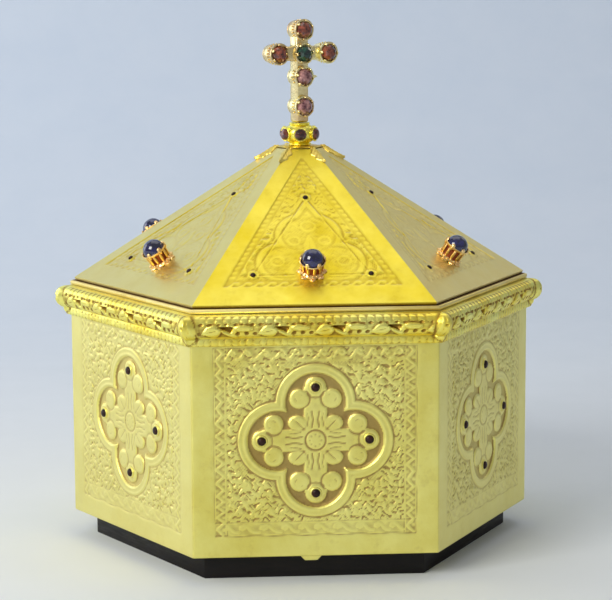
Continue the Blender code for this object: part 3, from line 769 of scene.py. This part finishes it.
def add_petal(foot, reach, wide, thick, turn, droop):
    """A cast leaf growing out from the axis, with a sunk midrib and a pointed, lifted end."""
    deselect()
    bpy.ops.mesh.primitive_uv_sphere_add(segments=16, ring_count=10, radius=1, rotation=(0, pi / 2, 0))
    petal = bpy.context.object
    bpy.ops.object.transform_apply(location=False, rotation=True, scale=False)
    for vertex in petal.data.vertices:
        x, y, z = vertex.co
        t = (x + 1) / 2
        y = y * (1.15 - 0.75 * t ** 2)
        z = (0.3 * z if z < 0 else z - 0.45 * z * max(0.0, 1 - abs(y) / 0.3)) + 0.5 * t ** 3
        vertex.co = ((foot + t * reach) * MM, y * wide / 2 * MM, z * thick * MM)
    petal.data.transform(turn_z(turn) @ Matrix.Rotation(droop, 4, "Y"))
    return petal


def make_claw_setting(section, steps, claws, claw_out, claw_height, claw_size, extras=()):
    """A turned cup with claws bent in over its stone, as one piece at the origin."""
    parts = [turned(in_metres(section), steps, True)]
    for claw in range(claws):
        turn = (claw + 0.5) * 2 * pi / claws
        parts.append(add_drop((claw_out, 0, claw_height), claw_size, turn, -0.22))
        stem = (claw_out + 0.2, 0, claw_height - claw_size[2])
        parts.append(add_drop(stem, (0.75, 0.8, 1.5), turn, 0.1, 8, 5))
    piece = join_up(parts + list(extras))
    tidy_mesh(piece, 45)
    return piece


def make_stone(profile, steps, smooth):
    """A stone from its girdle up, open profile, with cut facets where smooth is small."""
    return turned(in_metres(profile), steps, False, smooth)


def make_roof_gems(gilt, shade, stone):
    """Tall openwork settings on the roof: ribs around a core coloured dark as painted shade, cast leaves and
    beads at the foot.
    """
    extras = [add_petal(5.4, 4.0, 4.4, 1.3, petal * pi / 4, 0.05) for petal in range(8)]
    extras += bead_ring(7.0, 1.9, 0.7, 18)
    for rib in range(10):
        extras.append(add_drop((6.5, 0, 5.4), (0.75, 0.95, 4.2), (rib + 0.25) * pi / 5, 0.09, 8, 8))
    section = ((4.6, 0.5), (7.2, 0.2), (7.4, 0.9), (6.8, 1.7), (5.6, 2.2), (5.3, 5.0), (5.7, 8.0), (7.1, 8.3),
               (7.9, 9.0), (8.2, 9.7), (7.9, 10.2), (7.45, 10.0), (7.35, 8.8), (4.6, 8.5))
    collet = make_claw_setting(section, 36, 6, 7.45, 10.5, (0.75, 1.4, 1.7), extras)
    core = turned(in_metres(((5.35, 2.1), (5.85, 2.3), (5.75, 5.0), (6.1, 8.2), (5.5, 8.35))), 20, True, 50)
    gem = make_stone(((0.0, 8.9), (7.1, 8.9), (7.1, 10.0), (6.6, 12.0), (5.4, 14.0), (3.6, 15.5),
                      (1.8, 16.15), (0.0, 16.3)), 20, 40)
    foot = Matrix.Translation((0, GEM_UP * MM, GAP - 0.0004)) @ turn_z(-pi / 2)
    for index in range(SIDES):
        place = roof_frame(index) @ foot
        number = index + 1
        fit_out(copy_to(collet, place), f"gilt_collet_{number}", gilt, "collet", f"gem_collet_{number}")
        # The core's dark colour is painted shade between the ribs.
        fit_out(copy_to(core, place), f"collet_core_{number}", shade, "collet")
        spun = copy_to(gem, place @ turn_z(0.4 * index))
        fit_out(spun, f"blue_gem_{number}", stone, "blue_stone", f"gem_{number}")
    remove_patterns(collet, core, gem)


PIN_STONE = ((0.0, 0.0), (2.6, 0.0), (2.6, 0.45), (2.2, 1.15), (1.3, 1.6), (0.0, 1.7))
PIN_COLLAR = ((2.6, -0.7), (3.5, -0.6), (3.75, -0.1), (3.5, 0.35), (3.0, 0.5), (2.62, 0.3))


def make_pin_stones(wall_gold, roof_gold, stone):
    """The small dark stones of walls and roof, each in a low collar."""
    dot = make_stone(PIN_STONE, 16, 50)
    collar = turned(in_metres(PIN_COLLAR), 20, True, 60)
    collars = []
    count = 0
    for index in range(SIDES):
        panel = face_frame(index, WALL_FACE, BOX_Z + PANEL_MIDDLE * MM)
        for quarter in range(4):
            count += 1
            arm = turn_z(quarter * pi / 2) @ Matrix.Translation((STONE_OUT * MM, 0, 0.0001))
            fit_out(copy_to(dot, panel @ arm), f"wall_garnet_{count}", stone, "garnet", f"wall_stone_{count}")
            collars.append(copy_to(collar, panel @ arm))
    fit_out(join_up(collars), "wall_stone_collars", wall_gold, "walls")
    dots = []
    collars = []
    small = Matrix.Diagonal((0.66, 0.66, 0.66, 1))
    for index in range(SIDES):
        for x, v in PINHEADS:
            place = roof_frame(index) @ Matrix.Translation((x * MM, v * MM, -0.0003)) @ small
            dots.append(copy_to(dot, place))
            collars.append(copy_to(collar, place))
    fit_out(join_up(dots), "roof_pinheads", stone, "garnet")
    fit_out(join_up(collars), "roof_pinhead_collars", roof_gold, "roof")
    remove_patterns(dot, collar)


def roof_height(x, y):
    """Height of the plain roof over a point, flat on top."""
    out = np.full(x.shape, -1.0)
    for index in range(SIDES):
        turn = 2 * pi * index / SIDES - pi / 2
        out = np.maximum(out, x * cos(turn) + y * sin(turn))
    return np.minimum(ROOF_TOP, EAVE_Z + ROOF_RISE * (1 - out / ROOF_FACE))


def make_hip_leaves(material):
    """A cap on the roof's flat and a cast leaf down each hip, with lobed edges, veins and a curled tip."""
    cap = ((0.0, 0.3), (15.8, 0.3), (16.1, 0.7), (15.4, 1.2), (13.0, 1.45), (0.0, 1.5))
    parts = [turned(in_metres(cap, ROOF_TOP), SIDES, False)]
    for index in range(SIDES):
        piece, s, t = add_grid(20, 30)[:3]
        radius = 13.6 + 16.0 * t
        half = 4.2 * np.sin(pi * np.clip(t, 0.02, 0.985) ** 0.72) * (0.86 + 0.14 * np.cos(t * 6.0 * pi))
        aside = (2.0 * s - 1.0) * np.maximum(half, 0.25)
        x = radius * MM
        y = aside * MM
        inside = (s > 0.01) & (s < 0.99)
        lift = 0.35 + 0.9 * np.sqrt(np.clip(1.0 - (2.0 * s - 1.0) ** 2, 0.0, 1.0)) + 0.7 * cord(aside, 0.9)
        veins = cord(np.mod(t * 16.2 - 0.9 * np.abs(aside), 2.7) - 1.35, 0.6)
        lift = lift - 0.35 * inside * veins + 0.8 * t ** 6
        z = roof_height(x, y) + lift * MM
        set_places(piece, *turned_about(x, y, index * 2 * pi / SIDES), z)
        close_back(piece, 0.0006, 1.0)
        parts.append(piece)
    piece = join_up(parts)
    smooth_under(50)
    return fit_out(piece, "hip_leaves", material, "casting", "leaf_collar")


def make_knob(gilt, stone):
    """The turned knob with six bosses, each ringed with beads around a garnet."""
    section = ((0.0, 0.0), (7.0, 0.0), (7.3, 0.5), (7.0, 1.1), (6.3, 1.35), (7.9, 2.1), (9.4, 3.6),
               (10.2, 5.4), (10.4, 7.25), (10.2, 9.1), (9.3, 10.9), (7.7, 12.3), (6.2, 13.1), (6.7, 13.4),
               (6.8, 13.9), (6.4, 14.5), (0.0, 14.5))
    parts = [turned(in_metres(section, KNOB_Z), 48, False)]
    ring = ((2.0, 6.8), (4.4, 6.8), (4.3, 10.2), (4.6, 10.8), (4.6, 11.1), (4.3, 11.4), (2.0, 11.3))
    beading = bead_ring(4.3, 11.2, 0.5, 14)
    boss = join_up([turned(in_metres(ring), 24, True)] + beading)
    dot = make_stone(((0.0, 11.4), (3.8, 11.4), (3.8, 11.9), (3.0, 12.9), (1.6, 13.4), (0.0, 13.5)), 10, 14)
    for index in range(SIDES):
        place = face_frame(index, 0, KNOB_Z + KNOB_HEIGHT / 2)
        parts.append(copy_to(boss, place))
        fit_out(copy_to(dot, place), f"knob_garnet_{index + 1}", stone, "garnet", f"knob_stone_{index + 1}")
    remove_patterns(boss, dot)
    piece = join_up(parts)
    tidy_mesh(piece, 40)
    return fit_out(piece, "gilt_knob", gilt, "casting", "knob")


def make_cross(gilt, stones):
    """The cross: a thick rounded bar, six claw settings with cut stones, small prongs at the upper one."""
    stand = turn_z(CROSS_TURN) @ Matrix.Translation((0, 0, CROSS_Z)) @ Matrix.Rotation(pi / 2, 4, "X")
    arm, middle = SETTINGS["right"]
    top = SETTINGS["top"][1]
    half = BAR_WIDTH / 2
    right_side = [(half, 0), (half, middle - half), (arm, middle - half), (arm, middle + half),
                  (half, middle + half), (half, top)]
    outline = [(-half, 0)] + right_side + [(-x, y) for x, y in reversed(right_side[1:])]
    deselect()
    bpy.ops.mesh.primitive_circle_add(vertices=12, radius=1, fill_type="NGON")
    bar = bpy.context.object
    for vertex, (x, y) in zip(bar.data.vertices, outline):
        vertex.co = (x, y, -BAR_DEPTH / 2)
    start_edit("SELECT")
    bpy.ops.mesh.extrude_region_move(TRANSFORM_OT_translate={"value": (0, 0, BAR_DEPTH)})
    end_edit()
    tidy_mesh(bar)
    bevel_edges(bar, 0.0012, 3)
    section = ((3.6, -5.7), (5.2, -6.0), (5.7, -5.5), (5.5, -4.6), (6.2, -3.4), (6.5, -1.0), (6.2, 1.2),
               (6.3, 3.2), (6.9, 4.8), (7.15, 5.8), (7.1, 6.4), (6.6, 6.6), (6.05, 6.4), (5.95, 5.3),
               (3.6, 5.2))
    setting = make_claw_setting(section, 32, 6, 6.15, 6.9, (0.75, 1.15, 1.5), bead_ring(6.55, 1.4, 0.6, 20))
    parts = [bar]
    cut = make_stone(((0.0, 5.5), (5.6, 5.5), (5.6, 6.5), (4.5, 8.5), (3.0, 9.7), (0.0, 10.1)), 8, 8)
    for index, (name, (x, y)) in enumerate(SETTINGS.items()):
        place = Matrix.Translation((x, y, 0))
        parts.append(copy_to(setting, place @ turn_z(0.3 * index)))
        stone = copy_to(cut, stand @ place @ turn_z(0.35 + 0.5 * index))
        slot = stones[name].name.replace(" ", "_")
        fit_out(stone, f"cut_stone_{name}", stones[name], slot, f"cross_stone_{name}")
    for side in (-1, 1):
        prong = add_drop((0, 0, 0), (2.6, 0.9, 0.9), 0.0, 0.0, 8, 6)
        prong.data.transform(Matrix.Translation((side * 0.0078, SETTINGS["upper"][1], 0.0055)))
        parts.append(prong)
    remove_patterns(setting, cut)
    piece = join_up(parts)
    piece.data.transform(stand)
    tidy_mesh(piece, 45)
    return fit_out(piece, "jewelled_cross", gilt, "casting", "cross")


# Finishes.

def new_group(name, inputs, outputs):
    group = bpy.data.node_groups.new(name, "ShaderNodeTree")
    for label, kind, value in inputs:
        socket = group.interface.new_socket(name=label, in_out="INPUT", socket_type=kind)
        socket.default_value = value
    for label, kind in outputs:
        group.interface.new_socket(name=label, in_out="OUTPUT", socket_type=kind)
    return group, group.nodes.new("NodeGroupInput"), group.nodes.new("NodeGroupOutput")


def set_inputs(tree, node, values):
    """Sets inputs by name or number; a value that is another node's socket is linked."""
    for name, value in values.items():
        if isinstance(value, bpy.types.NodeSocket):
            tree.links.new(value, node.inputs[name])
        else:
            node.inputs[name].default_value = value


def new_node(tree, kind, values):
    node = tree.nodes.new(kind)
    set_inputs(tree, node, values)
    return node


def object_place(tree):
    return tree.nodes.new("ShaderNodeTexCoord").outputs["Object"]


def new_noise(tree, vector, scale, detail, rough):
    values = {"Vector": vector, "Scale": scale, "Detail": detail, "Roughness": rough}
    return new_node(tree, "ShaderNodeTexNoise", values).outputs["Fac"]


def new_range(tree, value, low, high, to_low=0.0, to_high=1.0):
    values = {"Value": value, "From Min": low, "From Max": high, "To Min": to_low, "To Max": to_high}
    return new_node(tree, "ShaderNodeMapRange", values).outputs["Result"]


def new_math(tree, operation, first, second):
    node = tree.nodes.new("ShaderNodeMath")
    node.operation = operation
    set_inputs(tree, node, {0: first, 1: second})
    return node.outputs[0]


def new_mix(tree, share, first, second):
    node = tree.nodes.new("ShaderNodeMix")
    node.data_type = "RGBA"
    set_inputs(tree, node, {"Factor": share, "A": first, "B": second})
    return node.outputs["Result"]


def add_bump(tree, shader, height, strength, distance):
    bump = new_node(tree, "ShaderNodeBump", {"Height": height, "Strength": strength, "Distance": distance})
    tree.links.new(bump.outputs["Normal"], shader.inputs["Normal"])


def build_gilding():
    """Worked gilding: pale clouds, brown tarnish and painted shade in the hollows, bright on the crests, and
    a fine hammered skin.
    """
    group, source, result = new_group(
        "worked gilding",
        [("Gold", "NodeSocketColor", (0.8, 0.6, 0.2, 1)), ("Pale", "NodeSocketColor", (0.9, 0.8, 0.4, 1)),
         ("Hollow", "NodeSocketColor", (0.2, 0.1, 0.03, 1)), ("Hollow Strength", "NodeSocketFloat", 1.0),
         ("Roughness", "NodeSocketFloat", 0.35), ("Skin", "NodeSocketFloat", 0.5)],
        [("Color", "NodeSocketColor"), ("Roughness", "NodeSocketFloat"), ("Height", "NodeSocketFloat")])
    given = source.outputs
    place = object_place(group)
    clouds = new_range(group, new_noise(group, place, 28.0, 5.0, 0.6), 0.36, 0.64)
    specks = new_range(group, new_noise(group, place, 420.0, 3.0, 0.6), 0.38, 0.62)
    smears = new_noise(group, place, 90.0, 6.0, 0.7)
    recess = group.nodes.new("ShaderNodeAttribute")
    recess.attribute_name = "recess"
    deep = new_range(group, recess.outputs["Fac"], 0.04, 0.75)
    crest = new_range(group, recess.outputs["Fac"], -0.08, -0.7)
    color = new_mix(group, clouds, given["Gold"], given["Pale"])
    color = new_mix(group, new_math(group, "MULTIPLY", crest, 0.45), color, given["Pale"])
    # Painted shade and tarnish in the hollows, with stains where the smears run.
    tarnish_and_shade = new_math(group, "MULTIPLY", new_math(group, "POWER", deep, 0.8), given["Hollow Strength"])
    freckle = new_math(group, "MULTIPLY", new_range(group, smears, 0.56, 0.72), 0.16)
    tarnish_and_shade = new_math(group, "MINIMUM", new_math(group, "ADD", tarnish_and_shade, freckle), 1.0)
    rough = new_math(group, "ADD", given["Roughness"], new_range(group, smears, 0.3, 0.7, -0.06, 0.09))
    fine = new_math(group, "MULTIPLY", specks, 0.4)
    skin = new_math(group, "ADD", fine, new_math(group, "MULTIPLY", smears, 0.6))
    set_inputs(group, result, {
        "Color": new_mix(group, tarnish_and_shade, color, given["Hollow"]),
        "Roughness": new_math(group, "ADD", rough, new_math(group, "MULTIPLY", deep, 0.2)),
        "Height": new_math(group, "MULTIPLY", skin, given["Skin"])})
    return group


def new_material(name):
    material = bpy.data.materials.new(name)
    material.use_nodes = True
    return material, material.node_tree, material.node_tree.nodes["Principled BSDF"]


def gilt_material(name, gilding, gold, pale, hollow, strength, roughness, skin, glance=None):
    """Gilding; at a glancing angle a painted reflection of the pale surroundings shows: a colour, the angles
    it starts and ends, its share.
    """
    material, tree, shader = new_material(name)
    look = tree.nodes.new("ShaderNodeGroup")
    look.node_tree = gilding
    set_inputs(tree, look, {"Gold": (*gold, 1), "Pale": (*pale, 1), "Hollow": (*hollow, 1),
                            "Hollow Strength": strength, "Roughness": roughness, "Skin": skin})
    color = look.outputs["Color"]
    if glance is not None:
        sheen_color, start, end, share = glance
        # Painted reflection: toward glancing angles the colour turns to a pale sheen.
        turned_away = tree.nodes.new("ShaderNodeLayerWeight").outputs["Facing"]
        sheen_share = new_range(tree, turned_away, start, end, 0.0, share)
        color = new_mix(tree, sheen_share, color, (*sheen_color, 1))
    set_inputs(tree, shader, {"Metallic": 1.0, "Base Color": color, "Roughness": look.outputs["Roughness"]})
    add_bump(tree, shader, look.outputs["Height"], 0.5, 0.00025)
    return material


def stone_material(name, deep, light, roughness=0.08, coat=0.6, shine=0.5):
    """A cut or polished stone: cloudy colour, a few paler flaws and a hard gloss."""
    material, tree, shader = new_material(name)
    place = object_place(tree)
    clouds = new_range(tree, new_noise(tree, place, 260.0, 4.0, 0.65), 0.40, 0.66)
    flaws = new_range(tree, new_noise(tree, place, 900.0, 2.0, 0.5), 0.62, 0.78)
    color = new_mix(tree, clouds, (*deep, 1), (*light, 1))
    color = new_mix(tree, new_math(tree, "MULTIPLY", flaws, 0.35), color, (*light, 1))
    rough = new_range(tree, flaws, 0.0, 1.0, roughness, roughness + 0.12)
    set_inputs(tree, shader, {"Base Color": color, "Roughness": rough, "IOR": 1.6,
                              "Specular IOR Level": shine, "Coat Weight": coat, "Coat Roughness": 0.03})
    return material


def black_wood_material():
    """Near-black wood: grain along the sides and a little pale dust."""
    material, tree, shader = new_material("black wood")
    place = object_place(tree)
    stretch = new_node(tree, "ShaderNodeMapping", {"Vector": place, "Scale": (1.0, 1.0, 9.0)})
    grain = new_noise(tree, stretch.outputs["Vector"], 60.0, 6.0, 0.65)
    dust = new_range(tree, new_noise(tree, place, 35.0, 4.0, 0.6), 0.45, 0.75)
    light = new_range(tree, grain, 0.35, 0.7)
    color = new_mix(tree, light, (0.004, 0.0035, 0.0035, 1), (0.012, 0.009, 0.009, 1))
    color = new_mix(tree, new_math(tree, "MULTIPLY", dust, 0.12), color, (0.03, 0.028, 0.03, 1))
    rough = new_range(tree, grain, 0.3, 0.7, 0.42, 0.65)
    set_inputs(tree, shader, {"Base Color": color, "Roughness": rough, "Specular IOR Level": 0.25})
    add_bump(tree, shader, grain, 0.3, 0.0002)
    return material


# Gold, pale clouds, hollows' tarnish and painted shade, strength of the hollows, roughness, skin and, on
# walls and roof, the painted glancing reflection.
GILTS = {
    "wall gilt": ((0.86, 0.76, 0.18), (0.97, 0.90, 0.28), (0.34, 0.21, 0.08), 0.8, 0.44, 0.5,
                  ((0.88, 0.80, 0.34), 0.20, 0.45, 0.6)),
    "roof gilt": ((0.80, 0.62, 0.03), (0.92, 0.77, 0.10), (0.50, 0.30, 0.03), 0.5, 0.38, 0.4,
                  ((0.76, 0.66, 0.32), 0.38, 0.60, 0.75)),
    # Painted shade: the roof's foot is coloured dark brown as the shadow in the gap under the roof's edge.
    "seam gilt": ((0.16, 0.09, 0.02), (0.24, 0.15, 0.04), (0.05, 0.02, 0.01), 1.0, 0.6, 0.5),
    # Painted shade: the collet cores are coloured dark red-brown as the shade between the ribs.
    "core gilt": ((0.30, 0.07, 0.04), (0.45, 0.14, 0.06), (0.08, 0.02, 0.01), 1.0, 0.5, 0.5),
    "cast gilt": ((1.00, 0.79, 0.09), (1.00, 0.95, 0.26), (0.26, 0.12, 0.02), 0.85, 0.34, 0.8),
    "leaf gilt": ((0.86, 0.60, 0.10), (0.95, 0.80, 0.22), (0.30, 0.12, 0.02), 0.9, 0.36, 0.8),
    # The rose gilt's hollows colour is the painted shade on the rim's top under the roof's edge.
    "rose gilt": ((0.86, 0.70, 0.24), (0.93, 0.80, 0.34), (0.16, 0.08, 0.03), 1.0, 0.5, 0.4),
    "collet gilt": ((0.94, 0.58, 0.24), (1.00, 0.78, 0.36), (0.30, 0.08, 0.03), 0.8, 0.30, 0.5),
    "knob gilt": ((1.00, 0.86, 0.10), (1.00, 0.95, 0.28), (0.30, 0.12, 0.03), 0.8, 0.28, 0.3),
    "cross gilt": ((0.70, 0.46, 0.22), (1.00, 0.90, 0.46), (0.28, 0.12, 0.07), 1.0, 0.24, 1.0),
}

# Deep and light colour, then roughness, coat and shine where they are not the usual ones.
STONES = {
    "blue stone": ((0.002, 0.002, 0.02), (0.014, 0.014, 0.11)),
    "garnet": ((0.012, 0.004, 0.002), (0.045, 0.012, 0.006), 0.40, 0.0, 0.2),
    "knob garnet": ((0.025, 0.006, 0.004), (0.20, 0.045, 0.022), 0.16, 0.2),
    "red stone": ((0.05, 0.010, 0.006), (0.42, 0.10, 0.05)),
    "rose stone": ((0.09, 0.02, 0.03), (0.60, 0.30, 0.28), 0.12),
    "green stone": ((0.002, 0.010, 0.010), (0.010, 0.10, 0.055)),
}

gilding = build_gilding()
finish = {name: gilt_material(name, gilding, *values) for name, values in GILTS.items()}
black_wood = black_wood_material()
for stone_name, stone_values in STONES.items():
    finish[stone_name] = stone_material(stone_name, *stone_values)


# Building.

for side_index in range(SIDES):
    make_wall(side_index, finish["wall gilt"])
    make_roof_face(side_index, finish["roof gilt"])
make_cornice(finish["cast gilt"])
make_box_floor(finish["wall gilt"])
make_front_lip(finish["wall gilt"])
make_roof_foot(finish["seam gilt"])
make_plinth(black_wood)
make_rim(finish["rose gilt"])
make_roof_gems(finish["collet gilt"], finish["core gilt"], finish["blue stone"])
make_pin_stones(finish["wall gilt"], finish["roof gilt"], finish["garnet"])
make_hip_leaves(finish["leaf gilt"])
make_knob(finish["knob gilt"], finish["knob garnet"])
red, rose, green = finish["red stone"], finish["rose stone"], finish["green stone"]
make_cross(finish["cross gilt"], {"top": red, "left": red, "right": red, "centre": green, "upper": rose,
                                  "lower": rose})


# Studio.

SWEEP_WIDTH = 9.0
SWEEP_LENGTH = 7.0
SWEEP_FLAT = 3.6
SWEEP_BEND = 0.7
BACKDROP_OUT = 1.5

# Place, aim, size, power and colour of each softbox.
LIGHTS = {
    "key": ((-1.5, -1.5, 1.3), (0, 0, 0.1), (1.1, 1.1), 38.0, (1.0, 0.98, 0.93)),
    "overhead": ((0.05, 0.35, 1.7), (0, 0, 0.2), (1.5, 1.2), 5.2, (1.0, 0.99, 0.96)),
    "left_fill": ((-1.9, 0.9, 0.7), (0, 0, 0.1), (1.0, 1.4), 9.0, (0.98, 0.98, 1.0)),
    "pale_card": ((-0.85, 1.25, 1.35), (-0.1, 0, 0.2), (0.9, 0.7), 1.2, (0.70, 0.82, 1.0)),
    "warm_card": ((1.5, 1.6, 1.5), (0.1, 0, 0.2), (0.9, 0.9), 5.6, (1.0, 0.86, 0.66)),
}

# The camera as fitted to the photo: angles in degrees, distance and aim in metres, lens in pixels.
CAMERA_TURN = -4.043
CAMERA_RISE = 8.969
CAMERA_ROLL = -0.279
CAMERA_DISTANCE = 1.4811
CAMERA_AIM = (0.003684, 0, 0.153547)
LENS_PIXELS = 2255.66
PHOTO_WIDTH = 612
SENSOR = 36.0


def make_sweep():
    """Pale floor that curves up into a pale blue backdrop, clear when seen from behind."""
    deselect()
    bpy.ops.mesh.primitive_grid_add(x_subdivisions=2, y_subdivisions=40, size=1)
    sweep = bpy.context.object
    sweep.name = "studio_sweep"
    start = BACKDROP_OUT - SWEEP_BEND
    for vertex in sweep.data.vertices:
        x = vertex.co.x * SWEEP_WIDTH
        run = (vertex.co.y + 0.5) * SWEEP_LENGTH
        turn = (run - SWEEP_FLAT) / SWEEP_BEND
        if turn < 0:
            vertex.co = (x, start - SWEEP_FLAT + run, 0)
        elif turn < pi / 2:
            vertex.co = (x, start + SWEEP_BEND * sin(turn), SWEEP_BEND * (1 - cos(turn)))
        else:
            vertex.co = (x, BACKDROP_OUT, SWEEP_BEND * (1 + turn - pi / 2))
    pick_only(sweep)
    bpy.ops.object.shade_smooth()
    material, tree, shader = new_material("studio cloth")
    place = object_place(tree)
    split = new_node(tree, "ShaderNodeSeparateXYZ", {"Vector": place})
    far = new_range(tree, split.outputs["Y"], 0.2, 1.3)
    color = new_mix(tree, far, (0.72, 0.755, 0.785, 1), (0.61, 0.69, 0.81, 1))
    weave = new_range(tree, new_noise(tree, place, 14.0, 4.0, 0.6), 0.3, 0.7, 0.0, 0.14)
    color = new_mix(tree, weave, color, (0.84, 0.87, 0.93, 1))
    set_inputs(tree, shader, {"Base Color": color, "Roughness": 0.9, "Specular IOR Level": 0.1})
    behind = tree.nodes.new("ShaderNodeNewGeometry").outputs["Backfacing"]
    clear = tree.nodes.new("ShaderNodeBsdfTransparent").outputs["BSDF"]
    seen = new_node(tree, "ShaderNodeMixShader", {0: behind, 1: shader.outputs["BSDF"], 2: clear})
    tree.links.new(seen.outputs["Shader"], tree.nodes["Material Output"].inputs["Surface"])
    sweep.data.materials.append(material)


def add_softbox(name, place, aim, size, power, color):
    data = bpy.data.lights.new(name, "AREA")
    data.shape = "RECTANGLE"
    data.size, data.size_y = size
    data.energy = power
    data.color = color
    light = bpy.data.objects.new(name, data)
    bpy.context.collection.objects.link(light)
    light.location = place
    light.rotation_euler = (Vector(aim) - Vector(place)).to_track_quat("-Z", "Y").to_euler()


def light_room():
    world = bpy.data.worlds.new("studio")
    bpy.context.scene.world = world
    world.use_nodes = True
    tree = world.node_tree
    direction = tree.nodes.new("ShaderNodeTexCoord").outputs["Generated"]
    split = new_node(tree, "ShaderNodeSeparateXYZ", {"Vector": direction})
    rise = new_range(tree, split.outputs["Z"], -0.1, 0.9)
    color = new_mix(tree, rise, (0.72, 0.74, 0.78, 1), (0.95, 0.95, 0.95, 1))
    set_inputs(tree, tree.nodes["Background"], {"Color": color, "Strength": 0.42})
    for name, values in LIGHTS.items():
        add_softbox(name, *values)


def place_camera():
    """The photograph's view: from a little left of the front wall and nine degrees above."""
    turn = radians(CAMERA_TURN)
    rise = radians(CAMERA_RISE)
    roll = radians(CAMERA_ROLL)
    back = Vector((sin(turn) * cos(rise), -cos(turn) * cos(rise), sin(rise)))
    right = Vector((cos(turn), sin(turn), 0))
    up = back.cross(right)
    across = right * cos(roll) + up * sin(roll)
    upright = up * cos(roll) - right * sin(roll)
    data = bpy.data.cameras.new("photo_view")
    data.sensor_width = SENSOR
    data.lens = LENS_PIXELS / PHOTO_WIDTH * SENSOR
    data.clip_start = 0.05
    data.clip_end = 20.0
    camera = bpy.data.objects.new("photo_view", data)
    bpy.context.collection.objects.link(camera)
    place = Vector(CAMERA_AIM) + back * CAMERA_DISTANCE
    camera.matrix_world = Matrix.Translation(place) @ Matrix((across, upright, back)).transposed().to_4x4()
    bpy.context.scene.camera = camera


make_sweep()
light_room()
place_camera()
bpy.context.scene.view_settings.view_transform = "Standard"
